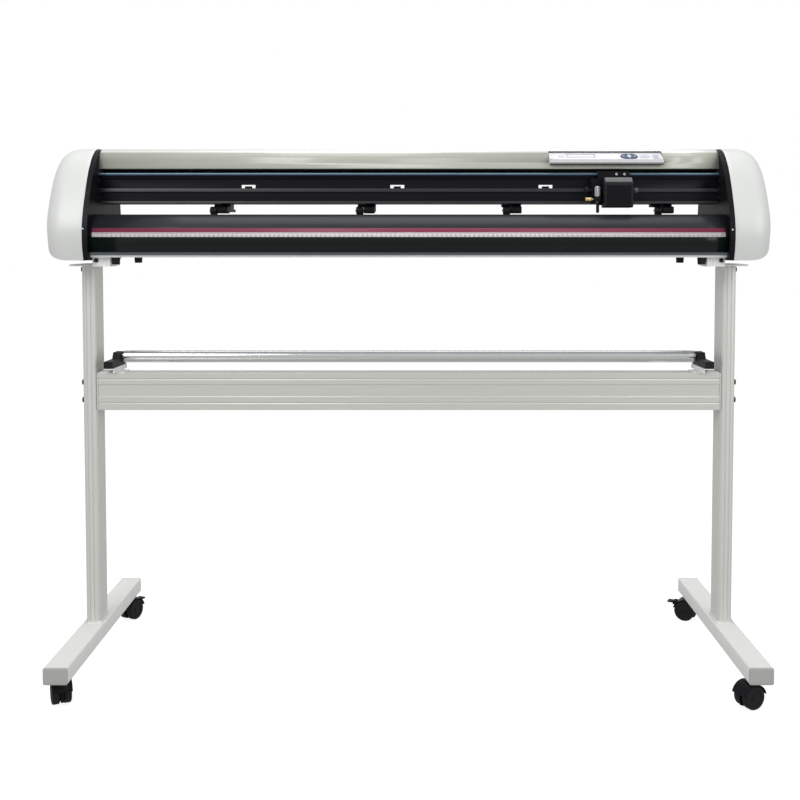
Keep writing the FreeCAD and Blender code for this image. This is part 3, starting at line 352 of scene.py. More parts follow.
def sheet_x(name, profile, stations, thickness, material, keep=None, index=None, **options):
    """A bent sheet run along X: profile rows of (y, z), with cells left out where keep says no."""
    verts = [(x, y, z) for x in stations for y, z in profile]
    rows = len(profile)
    faces = []
    picks = []
    for i in range(len(stations) - 1):
        for j in range(rows - 1):
            x = (stations[i] + stations[i + 1]) / 2
            y = (profile[j][0] + profile[j + 1][0]) / 2
            z = (profile[j][1] + profile[j + 1][1]) / 2
            if keep is None or keep(x, y, z):
                a = i * rows + j
                faces.append([a, a + 1, a + rows + 1, a + rows])
                picks.append(index(y, z) if index else 0)
    mesh = bpy.data.meshes.new(name)
    mesh.from_pydata([[c * MM for c in v] for v in verts], [], faces)
    mesh.polygons.foreach_set("material_index", picks)
    work = bmesh.new()
    work.from_mesh(mesh)
    bmesh.ops.delete(work, geom=[v for v in work.verts if not v.link_faces], context="VERTS")
    work.to_mesh(mesh)
    work.free()
    piece = settle(name, mesh, material, MACHINE, **options)
    solid = piece.modifiers.new("thickness", "SOLIDIFY")
    solid.thickness = abs(thickness) * MM
    solid.offset = -1.0 if thickness > 0 else 1.0
    solid.use_even_offset = True
    return piece


def stacked(rings):
    """Skin over rings with the same number of points, closed at both ends."""
    count = len(rings[0])
    verts = [point for ring in rings for point in ring]
    faces = []
    for level in range(len(rings) - 1):
        for i in range(count):
            a = level * count + i
            b = level * count + (i + 1) % count
            faces.append([a, b, b + count, a + count])
    faces.append(list(range(count)))
    faces.append(list(range(len(verts) - count, len(verts))))
    return verts, faces


# ---- stand ----
COLUMN_WIDTH = 32.0
COLUMN_DEPTH = 70.0
COLUMN_CORNER = 10.0
WELD_REACH = 3.0
TUBE_HALF = 656.0


def foot(side):
    low, high = box_mm("foot_tubes")
    outer = high.x * side
    inner = outer - 50 * side
    left, right = sorted((outer, inner))
    name = "right" if side > 0 else "left"
    section = rectangle(left, right, low.z, high.z, 4, 6)
    prism("foot_tube_" + name, section, "Y", low.y, high.y, grey_paint, nodes=["foot_tubes"],
          slot="painted_grey")
    cap_end = box_mm("foot_end_caps")[1].y
    for end in (-1, 1):
        verts, faces = cap_shape(left, right, low.z, high.z, high.y * end, cap_end * end)
        put("foot_cap_%s_%s" % (name, "front" if end < 0 else "rear"), verts, faces, cap_grey,
            nodes=["foot_end_caps"], slot="grey_plastic")


def cap_shape(x0, x1, z0, z1, y_in, y_out):
    """Domed end cap: rings that draw in towards a slightly crowned face."""
    rings = []
    for share, inset in ((0.0, 0.4), (0.0, -0.3), (0.55, -0.3), (0.85, 0.5), (1.0, 1.8), (1.0, 6.0)):
        y = y_in + (y_out - y_in) * share
        corner = max(1.0, 4 - inset * 0.4)
        ring = rectangle(x0 + inset, x1 - inset, z0 + inset, z1 - inset, corner, 6)
        rings.append([(x, y, z) for x, z in ring])
    return stacked(rings)


def grooved(length_u, length_v, corner, grooves_u, grooves_v, radius):
    """Rounded rectangle about the origin, with half-round grooves in its four sides."""
    half_u = length_u / 2
    half_v = length_v / 2
    outline = []

    def side(start, end, places):
        a = Vector(start)
        b = Vector(end)
        along = (b - a).normalized()
        inward = Vector((-along.y, along.x))
        middle = (a + b) / 2
        for place in sorted(places):
            for step in range(7):
                angle = math.pi * step / 6
                shift = along * (place - radius * math.cos(angle)) + inward * radius * math.sin(angle)
                outline.append(tuple(middle + shift))

    def arc(cu, cv, first):
        for step in range(9):
            angle = math.radians(first + 90 * step / 8)
            outline.append((cu + corner * math.cos(angle), cv + corner * math.sin(angle)))

    side((-half_u, -half_v), (half_u, -half_v), grooves_u)
    arc(half_u - corner, -half_v + corner, -90)
    side((half_u, -half_v), (half_u, half_v), grooves_v)
    arc(half_u - corner, half_v - corner, 0)
    side((half_u, half_v), (-half_u, half_v), grooves_u)
    arc(-half_u + corner, half_v - corner, 90)
    side((-half_u, half_v), (-half_u, -half_v), grooves_v)
    arc(-half_u + corner, -half_v + corner, 180)
    return outline


def column(side):
    low, high = box_mm("columns")
    centre = (high.x - COLUMN_WIDTH / 2 - WELD_REACH) * side
    name = "right" if side > 0 else "left"
    section = grooved(COLUMN_WIDTH, COLUMN_DEPTH, COLUMN_CORNER, (-5, 5), (-16, 0, 16), 1.4)
    outline = [(centre + u, v) for u, v in section]
    prism("column_" + name, outline, "Z", low.z, high.z, upright_aluminium, nodes=["columns"],
          slot="anodised_silver", sharp=40)
    weld_ring(name, centre, low.z)


def weld_ring(name, centre, z_foot):
    """Fillet round the foot of a column."""
    rings = []
    for spread, lift in ((5.0, 0.0), (4.2, 1.2), (2.4, 2.2), (0.6, 3.6), (-0.6, 4.2)):
        half_x = COLUMN_WIDTH / 2 + spread
        half_y = COLUMN_DEPTH / 2 + spread
        ring = rectangle(centre - half_x, centre + half_x, -half_y, half_y, COLUMN_CORNER + spread, 8)
        rings.append([(x, y, z_foot + lift) for x, y in ring])
    verts, faces = stacked(rings)
    put("weld_ring_" + name, verts, faces, upright_aluminium, nodes=["columns"], slot="anodised_silver")


def crossbar():
    low, high = box_mm("crossbar")
    outline = []
    front = low.y
    rear = high.y
    # front face from the top down: shallow steps that read as long bands
    steps = ((0, 0.0), (12, 0.0), (13, 1.1), (15, 1.1), (16, 0.0), (26, 0.0), (27, 1.2), (53, 1.2), (54,
                                                                                                     0.0),
             (66, 0.0), (67, 1.0), (69, 1.0), (70, 0.0), (84, 0.0))
    for drop, depth in steps:
        outline.append((front + depth, high.z - drop))
    bottom = [(rear, low.z)]
    back = [(rear - depth, high.z - drop) for drop, depth in reversed(steps)][1:]
    outline += bottom + back
    prism("crossbar_rail", outline, "X", low.x, high.x, rail_aluminium, nodes=["crossbar"],
          slot="anodised_silver", bevel=0.7, sharp=20)


def media_roller():
    low, high = box_mm("media_roller")
    centre = (0, (low.y + high.y) / 2, (low.z + high.z) / 2)
    radius = (high.z - low.z) / 2
    body = "media_roller"
    tube = [(TUBE_HALF - 0.6, radius), (TUBE_HALF, radius - 0.6), (TUBE_HALF, radius - 3)]
    tube = [(-along, r) for along, r in reversed(tube)] + tube
    lathe("media_tube", tube, "X", centre, chrome, body, nodes=["media_roller"], slot="bright_tube",
          segments=64)
    plug = [(TUBE_HALF - 2, 0), (TUBE_HALF - 2, radius - 2), (TUBE_HALF + 0.8, radius - 2),
            (TUBE_HALF + 1.2, radius - 0.8), (TUBE_HALF + 2.6, radius - 0.8), (TUBE_HALF + 3, radius - 1.4),
            (TUBE_HALF + 3, 5.6), (TUBE_HALF + 4, 5), (high.x - 0.7, 5), (high.x, 4.3), (high.x, 0)]
    for side in (-1, 1):
        end = [(side * along, r) for along, r in plug]
        lathe("roller_plug_" + ("right" if side > 0 else "left"), end, "X", centre, steel, body,
              nodes=["media_roller"], slot="bright_tube")


# ---- head: covers and plates ----
NOSE = [(-130, 920), (-138.7, 985), (-116.5, 1053), (-67, 1134)]
CROWN = [(-31, 1161), (8, 1168), (52, 1160), (96, 1130)]
BACK = [(126, 1075), (138, 1005), (134, 920)]
DOME_Y = [(0.0, 1.0), (0.2, 1.0), (0.4, 1.0), (0.56, 0.995), (0.7, 0.965), (0.82, 0.9), (0.92, 0.79),
          (0.975, 0.62),
          (0.995, 0.35), (1.0, 0.0)]
DOME_UP = [(0.0, 1.0), (0.2, 1.0), (0.4, 0.999), (0.56, 0.985), (0.7, 0.945), (0.82, 0.87), (0.92, 0.72),
           (0.975, 0.46), (0.995, 0.22), (1.0, 0.0)]
DOME_Z = 1022.0


def head_ring(count=84, base=16):
    ring = smooth_curve(NOSE + CROWN + BACK, count)
    for i in range(1, base):
        share = i / base
        ring.append((134 - 264 * share, HEAD_BOTTOM))
    return ring


def end_cover(side):
    """Thin domed shell with a rolled rim and a soft nose."""
    length = COVER_END - PLATE_OUT
    wall = 3.0
    ring = head_ring()
    count = len(ring)
    across = smooth_curve(DOME_Y, 26)
    upward = smooth_curve(DOME_UP, 26)
    verts = []
    faces = []

    def level(x, size_y, size_z, grow):
        for y, z in ring:
            dy = y * size_y
            dz = (z - DOME_Z) * size_z
            reach = math.hypot(dy, dz) or 1.0
            scale = 1 + grow / reach
            verts.append((side * x, dy * scale, DOME_Z + dz * scale))

    def skin(first, levels, tip_x):
        for k in range(levels - 1):
            for i in range(count):
                a = first + k * count + i
                b = first + k * count + (i + 1) % count
                faces.append([a, b, b + count, a + count])
        last = first + (levels - 1) * count
        verts.append((side * tip_x, 0, DOME_Z))
        for i in range(count):
            faces.append([last + i, last + (i + 1) % count, len(verts) - 1])

    shares = [k / 25 for k in range(26)]
    shares = [1 - (1 - k) ** 1.7 for k in shares][:-1]

    def size_at(curve, share):
        return float(np.interp(share, [c[0] for c in curve], [c[1] for c in curve]))

    outer = [(PLATE_OUT + 0.4, 1.0, 1.0, 0.2), (PLATE_OUT + 0.1, 1.0, 1.0, 0.9), (PLATE_OUT + 1.2, 1.0,
                                                                                  1.0, 1.3)]
    outer += [(PLATE_OUT + k * length, size_at(across, k), size_at(upward, k),
               0.8 * (1 - k)) for k in shares[2:]]
    for x, size_y, size_z, grow in outer:
        level(x, size_y, size_z, grow)
    skin(0, len(outer), COVER_END)
    start = len(verts)
    for k in shares:
        level(PLATE_OUT + 0.3 + k * (length - wall), size_at(across, k), size_at(upward, k), -wall)
    skin(start, len(shares), COVER_END - wall)
    for i in range(count):
        faces.append([i, start + i, start + (i + 1) % count, (i + 1) % count])
    name = "right" if side > 0 else "left"
    put("end_shell_" + name, verts, faces, shell_white, nodes=["end_cover_" + name], slot="white_shell",
        sharp=50)


COVER_FRONT = [(-42, 1121), (-40, 1135), (-37, 1148)]
COVER_CROWN = [(-28, 1157.5), (8, 1166), (50, 1159), (80, 1137), (88, 1117)]
NOTCH_FLOOR = 1134.0
# Above this height, and in front of the next depth, the top cover takes the near-white copy of its finish:
# a painted highlight along the crown.
HIGHLIGHT_ABOVE = 1156.5
HIGHLIGHT_BEFORE = 20.0


def top_cover():
    """Long cover over the beam, with a notch for the console; its crown strip and its edge beads are
    painted brighter as painted highlights.
    """
    console_low, console_high = box_mm("control_console")
    curve = smooth_curve(COVER_FRONT + COVER_CROWN, 61)
    stations = [-HALF_SPAN, console_low.x, console_high.x, HALF_SPAN]

    def keep(x, y, z):
        inside = console_low.x < x < console_high.x
        return not (inside and z > NOTCH_FLOOR and y < console_high.y)

    # Faces high on the crown take the second, brighter material: painted highlight.
    def index(y, z):
        return 1 if z > HIGHLIGHT_ABOVE and y < HIGHLIGHT_BEFORE else 0

    sheet_x("top_cover_sheet", curve, stations, -2.5, [cover_beige, cover_top_highlight], keep, index,
            nodes=["top_cover"],
            slot="beige_cover")
    # Lip bead along the lower front edge and the end flanges, in the brighter finish: painted highlight on
    # the edges.
    lower_lip = rounded([(-44.2, 1121.4), (-41.2, 1121.0), (-40.4, 1126.0), (-43.4, 1126.2)], 0.7, 4)
    prism("cover_lower_lip", lower_lip, "X", -HALF_SPAN, HALF_SPAN, cover_edge_highlight, nodes=["top_cover"],
          slot="beige_cover")
    for side in (-1, 1):
        end = [(y - 0.5, z + 0.2) for y, z in curve if z < HIGHLIGHT_ABOVE + 0.5 and y < 0]
        inside = [(y + 2.0, z - 0.6) for y, z in reversed(end)]
        start, stop = sorted((side * HALF_SPAN, side * (HALF_SPAN - 4.5)))
        prism("cover_end_flange_" + ("right" if side > 0 else "left"), end + inside, "X", start, stop,
              cover_edge_highlight,
              nodes=["top_cover"], slot="beige_cover")


def side_plates():
    refined("side_plate_right", black_paint, bevel=0.8, slot="black_metal")
    refined("side_plate_left", black_paint, bevel=0.8, slot="black_metal")
    head = [(-1.4, 0), (-1.4, 1.0), (-0.9, 1.8), (0.4, 1.8)]
    for name, x, z in (("right", 692.1, 985.5), ("left", -696.4, 987.5)):
        lathe("plate_stud_" + name, head, "Y", (x, plate_low.y, z), label_white,
              nodes=["side_plate_" + name],
              slot="black_metal", segments=20)


PLATEN_FRONT = [(-82, 1019.5), (-88, 1018.8), (-101, 1013), (-117, 998.5), (-126.5, 978), (-128, 955),
                (-122, 932.6)]
PLATEN_REAR = [(119, 1001), (92, 1014.5), (62, 1019.5)]
SCALE_TOP = 989.0
SCALE_MIDDLE = 980.0
SCALE_LOW = 970.0


def platen():
    """Flat bed with a rolled nose and a deep gloss apron, open over the grit rollers."""
    rear = smooth_curve(PLATEN_REAR, 10)[:-1]
    low, high = box_mm("cutting_strip")
    flat = [(y, PLATEN_Z) for y in (62, -8.5, -31.5, high.y, low.y, -82)]
    front = smooth_curve(PLATEN_FRONT, 46)
    stations = [-HALF_SPAN]
    for centre in PINCH_CENTRES:
        stations += [centre - 62, centre + 62]
    stations.append(HALF_SPAN)

    def keep(x, y, z):
        over_roller = any(abs(x - centre) < 62 for centre in PINCH_CENTRES)
        in_groove = low.y < y < high.y and z > 1010
        return not (over_roller and -31.5 < y < -8.5) and not in_groove

    def index(y, z):
        return 1 if z < SCALE_LOW and y < 0 else 0

    sheet_x("platen_sheet", rear + flat + front[1:], stations, 3.0, [platen_grey, apron_black], keep, index,
            nodes=["platen"], slot="black_extrusion")
    lip = rounded([(-124.6, 932.4), (-119.8, 931.2), (-118.0, 936.5), (-125.0, 937.0)], 0.8, 4)
    prism("apron_lip", lip, "X", -HALF_SPAN, HALF_SPAN, lip_grey, nodes=["platen"], slot="black_extrusion")


NOSE_CURVE = smooth_curve(PLATEN_FRONT, 120)


def nose_at(z):
    """Point of the platen's nose at height z."""
    for (y0, z0), (y1, z1) in zip(NOSE_CURVE, NOSE_CURVE[1:]):
        if z1 <= z <= z0:
            return y0 + (y1 - y0) * (z0 - z) / (z0 - z1)
    return NOSE_CURVE[-1][0]


def ruler():
    """Printed scale: a red field over a white field with ticks and plain numbers."""
    start = -HALF_SPAN + 7.0
    end = HALF_SPAN - 7.0
    proud = 0.35
    for tag, top, low, material in (("red", SCALE_TOP, SCALE_MIDDLE, scale_red),
                                    ("white", SCALE_MIDDLE, SCALE_LOW, scale_white)):
        rows = [(nose_at(z) - proud, z) for z in np.linspace(top, low, 8)]
        sheet_x("scale_field_" + tag, rows, [start, 0, end], 0.3, material, nodes=["ruler_strip"],
                slot="scale_print")
    verts = []
    faces = []

    def bar(x, width, z_low, z_high):
        first = len(verts)
        for z in (z_low, z_high):
            y = nose_at(z) - proud - 0.12
            verts.extend([(x - width / 2, y, z), (x + width / 2, y, z)])
        faces.append([first, first + 1, first + 3, first + 2])

    for tick in range(1, 1358):
        x = start + 2 + tick
        if tick % 10 == 0:
            bar(x, 0.5, SCALE_MIDDLE - 4.6, SCALE_MIDDLE - 0.4)
        elif tick % 5 == 0:
            bar(x, 0.4, SCALE_MIDDLE - 3.4, SCALE_MIDDLE - 0.4)
        else:
            bar(x, 0.35, SCALE_MIDDLE - 2.3, SCALE_MIDDLE - 0.4)
    put("scale_ticks", verts, faces, scale_dark, nodes=["ruler_strip"], slot="scale_print")
    numbers(start + 2, SCALE_LOW + 0.8, proud)


def numbers(x_start, z_foot, proud):
    """Centimetre numbers as one flat mesh."""
    merged = bmesh.new()
    graph = bpy.context.evaluated_depsgraph_get()
    for value in range(1, 136):
        curve = bpy.data.curves.new("number", "FONT")
        curve.body = str(value)
        curve.size = 5.6 * MM
        curve.align_x = "CENTER"
        curve.resolution_u = 2
        holder = bpy.data.objects.new("number", curve)
        bpy.context.scene.collection.objects.link(holder)
        graph.update()
        flat = bpy.data.meshes.new_from_object(holder.evaluated_get(graph))
        x = (x_start + 10 * value) * MM
        tilt = math.atan2(nose_at(z_foot) - nose_at(z_foot + 5), 5)
        place = Matrix.Translation((x, (nose_at(z_foot) - proud - 0.12) * MM, z_foot * MM))
        flat.transform(place @ Matrix.Rotation(math.radians(90) + tilt, 4, "X"))
        merged.from_mesh(flat)
        bpy.data.objects.remove(holder)
        bpy.data.meshes.remove(flat)
        bpy.data.curves.remove(curve)
    mesh = bpy.data.meshes.new("scale_numbers")
    merged.to_mesh(mesh)
    merged.free()
    settle("scale_numbers", mesh, scale_dark, MACHINE, ["ruler_strip"], "scale_print")


# ---- console ----
PANEL_TILT = math.radians(28)
PANEL_FRONT = (-56.0, 1140.0)


def on_panel(x, up, out):
    """A place on the sloped panel: across, up the slope and out of it."""
    y = PANEL_FRONT[0] + up * math.cos(PANEL_TILT) - out * math.sin(PANEL_TILT)
    z = PANEL_FRONT[1] + up * math.sin(PANEL_TILT) + out * math.cos(PANEL_TILT)
    return (x, y, z)


def panel_slab(name, outline, low, high, material, body=MACHINE, nodes=(), slot=None, bevel=0.0):
    count = len(outline)
    verts = [on_panel(x, up, low) for x, up in outline] + [on_panel(x, up, high) for x, up in outline]
    faces = [[i, (i + 1) % count, count + (i + 1) % count, count + i] for i in range(count)]
    faces += [list(range(count))[::-1], list(range(count, 2 * count))]
    return put(name, verts, faces, material, body, nodes, slot, bevel)


def oval(x, up, wide, deep, steps=12):
    return rounded([(x - wide / 2, up - deep / 2), (x + wide / 2, up - deep / 2), (x + wide / 2,
                                                                                   up + deep / 2),
                    (x - wide / 2, up + deep / 2)], deep / 2 - 0.01, steps)


def console():
    """White housing with a rim, a printed label and a display."""
    low, high = box_mm("control_console")
    refined("control_console", panel_white, bevel=1.2, slot="white_shell")
    x0 = low.x
    x1 = high.x
    node = ["control_console"]
    rim = 2.6
    for tag, outline in (("front", rectangle(x0 + 1, x1 - 1, 0.6, 0.6 + rim, 1)),
                         ("rear", rectangle(x0 + 1, x1 - 1, 37 - rim, 37, 1)),
                         ("left", rectangle(x0 + 1, x0 + 1 + rim * 2, 0.6, 37, 1)),
                         ("right", rectangle(x1 - 1 - rim, x1 - 1, 0.6, 37, 1))):
        panel_slab("console_rim_" + tag, outline, -0.5, 1.3, panel_white, nodes=node, slot="white_shell",
                   bevel=0.6)
    # Thin black strip under the console's front edge: a painted shadow line where the console overhangs the
    # cover, not a real gasket.
    shadow_line = rectangle(-54.6, -50, 1130.4, 1131.9, 0.5)
    prism("console_painted_shadow", shadow_line, "X", x0, x1, foot_rubber, nodes=node, slot="white_shell")
    label = rectangle(x0 + 12, x0 + 155, 5, 33, 3)
    panel_slab("console_label", label, -0.3, 0.25, label_white, nodes=node, slot="white_shell")
    for row in range(2):
        stripe = rectangle(x0 + 20, x0 + 34, 12 + row * 9, 15 + row * 9, 1)
        panel_slab("label_mark_%d" % row, stripe, 0.1, 0.4, label_lilac, nodes=node, slot="white_shell")
    for row in range(5):
        stripe = rectangle(x1 - 22, x1 - 8, 6 + row * 5, 7.6 + row * 5, 0.6)
        panel_slab("console_stripe_%d" % row, stripe, -0.3, 0.5, label_lilac, nodes=node,
                   slot="white_shell")
    window_low, window_high = box_mm("display_window")
    frame_x0 = window_low.x
    frame_x1 = window_high.x
    panel_slab("display_glass", rectangle(frame_x0, frame_x1, 16.1, 27.9, 1), -1.1, 0.2, glass_dark,
               nodes=["display_window"], slot="display", bevel=0.2)
    for tag, outline in (("front", rectangle(frame_x0 - 2, frame_x1 + 2, 14.0, 16.0, 0.6)),
                         ("rear", rectangle(frame_x0 - 2, frame_x1 + 2, 28.0, 30.0, 0.6)),
                         ("left", rectangle(frame_x0 - 2, frame_x0 - 0.1, 14, 30, 0.6)),
                         ("right", rectangle(frame_x1 + 0.1, frame_x1 + 2, 14, 30, 0.6))):
        panel_slab("display_frame_" + tag, outline, 0.1, 0.8, label_lilac, nodes=node, slot="white_shell",
                   bevel=0.2)


def keys():
    low, high = box_mm("arrow_pad")
    x = (low.x + high.x) / 2
    up = 19.0
    panel_slab("arrow_pad_disc", oval(x, up, 37.4, 26.4), -1.6, 1.2, key_blue, "arrow_pad", ["arrow_pad"],
               "key_blue", bevel=0.6)
    for tag, turn in (("right", 0), ("rear", 90), ("left", 180), ("front", 270)):
        angle = math.radians(turn)
        reach_x = 12.5 * math.cos(angle)
        reach_up = 8.6 * math.sin(angle)
        points = []
        for spread, size in ((0, 3.0), (130, 2.6), (230, 2.6)):
            a = angle + math.radians(spread)
            points.append((x + reach_x + size * math.cos(a), up + reach_up + size * math.sin(a)))
        panel_slab("arrow_mark_" + tag, points, 1.1, 1.45, label_white, "arrow_pad", ["arrow_pad"],
                   "key_blue")
    ring = oval(x, up, 10, 10)
    panel_slab("arrow_pad_middle", ring, 1.0, 1.7, key_grey, "arrow_pad", ["arrow_pad"], "key_blue",
               bevel=0.3)
    low, high = box_mm("mode_key")
    x = (low.x + high.x) / 2
    panel_slab("mode_key_disc", oval(x, up, 21.4, 15.4), -1.6, 1.2, key_grey, "mode_key", ["mode_key"],
               "key_grey", bevel=0.6)
    panel_slab("mode_key_mark", rectangle(x - 5, x + 5, up - 1, up + 1, 0.8), 1.1, 1.45, label_lilac,
               "mode_key",
               ["mode_key"], "key_grey")


# ---- beam, rail, carriage and tool ----
def beam():
    refined("main_beam", black_beam, bevel=0.5, slot="black_extrusion")
    low, high = box_mm("main_beam")
    # Rib and nose strips in the lighter finish: painted highlight bands along the beam face.
    rib = rounded([(-33.6, 1070.9), (-31.0, 1070.3), (-31.0, 1079.1), (-32.2, 1079.0)], 0.8, 4)
    prism("beam_rib", rib, "X", low.x, high.x, beam_highlight_black, nodes=["main_beam"], slot="black_extrusion")
    nose = rounded([(-35.4, 1044.9), (-33.0, 1044.9), (-33.0, 1050.6), (-34.4, 1050.4)], 0.7, 4)
    prism("beam_nose", nose, "X", low.x, high.x, beam_highlight_black, nodes=["main_beam"], slot="black_extrusion")


def rail():
    low, high = box_mm("guide_rail")
    middle = (low.z + high.z) / 2 - 0.4
    lower = rounded([(low.y + 0.6, low.z, 0.6), (high.y, low.z, 0), (high.y, middle, 0), (low.y + 0.6,
                                                                                          middle, 0.3)],
                    0.3, 3)
    prism("rail_base", lower, "X", low.x, high.x, rail_blue, nodes=["guide_rail"], slot="steel")
    # Top bar in the light blue finish: a painted reflection along the rail.
    upper = rounded([(low.y, middle + 0.1, 0.4), (high.y, middle + 0.1, 0), (high.y, high.z, 0.4),
                     (low.y + 1.2, high.z, 0.5), (low.y, high.z - 1.4, 0.5)], 0.4, 3)
    prism("rail_bar", upper, "X", low.x, high.x, rail_reflection_blue, nodes=["guide_rail"], slot="steel")


def carriage_box():
    """Soft box with a lighter sloped top edge, screws and a side knob."""
    low, high = box_mm("carriage_cover")
    right = high.x - 14
    body = "carriage"
    node = ["carriage_cover"]
    side = rounded([(low.y + 3.5, low.z, 3), (-57.5, low.z, 1), (-57.5, high.z, 1), (low.y + 14, high.z, 4),
                    (low.y, high.z - 13, 4), (low.y, low.z + 3, 3)], 2, 6)
    prism("carriage_hood", side, "X", low.x, right, black_plastic, body, node, "black_plastic", bevel=2.2,
          sharp=40)
    slope = [(low.y + 1.9, high.z - 10.6), (low.y + 10.8, high.z - 0.2)]
    span = Vector(slope[1]) - Vector(slope[0])
    out = Vector((-span.y, span.x)).normalized() * 0.9
    plate = rounded([slope[0], slope[1], tuple(Vector(slope[1]) + out), tuple(Vector(slope[0]) + out)],
                    0.4, 3)
    prism("carriage_bevel", plate, "X", low.x + 2.2, right - 2.2, bevel_grey, body, node, "black_plastic",
          bevel=0.3)
    face = rectangle(low.x + 5, right - 5, low.z + 5, high.z - 17, 2.5)
    prism("carriage_face_panel", face, "Y", low.y - 0.7, low.y + 1, gloss_black, body, node,
          "black_plastic", bevel=0.4)
    for x in (low.x + 2.6, right - 2.6):
        for z in (low.z + 3.6, high.z - 15.5):
            lathe("face_screw_%d_%d" % (x, z), [(-1.2, 0), (-1.2, 1.0), (-0.9, 1.3), (0.6, 1.3)], "Y",
                  (x, low.y, z), dark_steel, body, node, "black_plastic", segments=20)
    knob_y = -78
    knob_z = 1072
    profile = [(0, 2.0), (5, 2.0), (5.2, 4.2), (5.8, 5.0), (12.6, 5.0), (13.4, 4.4), (14, 3.4), (14, 0)]
    lathe("carriage_knob", profile, "X", (right, knob_y, knob_z), bevel_grey, body, node, "black_plastic",
          knurl=0.3,
          knurl_from=4.6, segments=48)


def carriage_truck():
    refined("carriage", black_paint, "carriage", bevel=0.5, slot="black_metal")
    for x in (458, 475.6):
        lathe("truck_screw_%d" % x, [(-2.0, 0), (-2.0, 1.2), (-1.7, 1.3), (-1.9, 2.4), (-1.5, 2.9), (0.3,
                                                                                                     2.9)],
              "Y",
              (x, -57.8, 1108.5), steel, "carriage", ["carriage"], "black_metal", segments=24)


def tool():
    body = "tool_slide"
    node = ["tool_slide"]
    x = 414.0
    y = -75.0
    back = rectangle(404, 424, 1046, 1092, 2)
    prism("tool_back", back, "Y", -64, -57.9, black_paint, body, node, "black_metal", bevel=0.6)
    ring = rounded([(404, -84, 5), (424, -84, 5), (424, -63.5, 0.5), (404, -63.5, 0.5)], 1, 5)
    prism("tool_ring", ring, "Z", 1047, 1058, gloss_black, body, node, "black_metal", bevel=0.6)
    profile = [(1023.5, 1.6), (1023.5, 2.6), (1025.2, 3.5), (1046, 3.5), (1046.2, 5.4), (1059, 5.4),
               (1059.2, 6.4),
               (1060, 7.0), (1079.5, 7.0), (1081, 6.2), (1081.4, 3.0), (1081.4, 0)]
    lathe("blade_barrel", profile[:5], "Z", (x, y, 0), dark_steel, body, node, "steel", segments=36)
    lathe("blade_barrel_cap", profile[4:], "Z", (x, y, 0), steel, body, node, "steel", knurl=0.3,
          knurl_from=6.6,
          segments=60)
    lathe("stop_knob", [(387, 0), (387, 5.6), (388, 7.0), (394, 7.0), (395, 6.2), (395, 2.0), (404, 2.0)],
          "X",
          (0, -61, 1073.5), black_plastic, body, node, "black_metal", knurl=0.35, knurl_from=6.6,
          segments=48)
    lathe("clamp_knob", [(386.5, 0), (386.5, 3.0), (387.2, 3.8), (399.6, 3.8), (400.5, 3.1), (400.5, 2.0),
                         (406.4, 2.0), (406.4, 0)], "X", (0, y, 1052.5), brass, "tool_clamp_screw",
          ["tool_clamp_screw"], "brass", knurl=0.25, knurl_from=3.6, segments=44)
    lathe("drag_blade", [(1021.9, 0.05), (1022.9, 0.7), (1023.9, 1.2), (1024.1, 1.5), (1043, 1.5), (1043.5,
                                                                                                    0)],
          "Z",
          (x, y, 0), steel, "blade", ["blade"], "steel", segments=24)


# ---- pinch units ----
def pinch_unit(number, centre):
    block = "pinch_block_%d" % number
    arm = "pinch_arm_%d" % number
    wheel = "pinch_wheel_%d" % number
    refined(block, black_plastic, block, bevel=0.5, slot="black_plastic")
    refined(arm, black_paint, arm, bevel=0.6, slot="black_metal")
    low, high = box_mm(wheel)
    y = (low.y + high.y) / 2
    z = (low.z + high.z) / 2
    radius = (high.z - low.z) / 2
    width = high.x - low.x
    tread = []
    grooves = 5
    for i in range(grooves):
        start = 1.2 + i * (width - 2.4) / grooves
        pitch = (width - 2.4) / grooves
        tread += [(start, radius), (start + pitch * 0.62, radius), (start + pitch * 0.7, radius - 0.35),
                  (start + pitch * 0.92, radius - 0.35)]
    profile = [(0, 2.1), (0, radius - 1.6), (0.5, radius - 0.6), (1.2, radius)] + tread[1:]
    profile += [(width - 1.2, radius), (width - 0.5, radius - 0.6), (width, radius - 1.6), (width, 2.1)]
    lathe("pinch_tyre_%d" % number, profile, "X", (low.x, y, z), tyre_rubber, wheel, [wheel], "tyre_black")
    lathe("pinch_hub_%d" % number, [(-0.6, 2.1), (-0.6, 6.2), (-0.2, 6.8), (0.3, 6.8)], "X", (low.x, y, z),
          steel,
          wheel, [wheel], "steel")


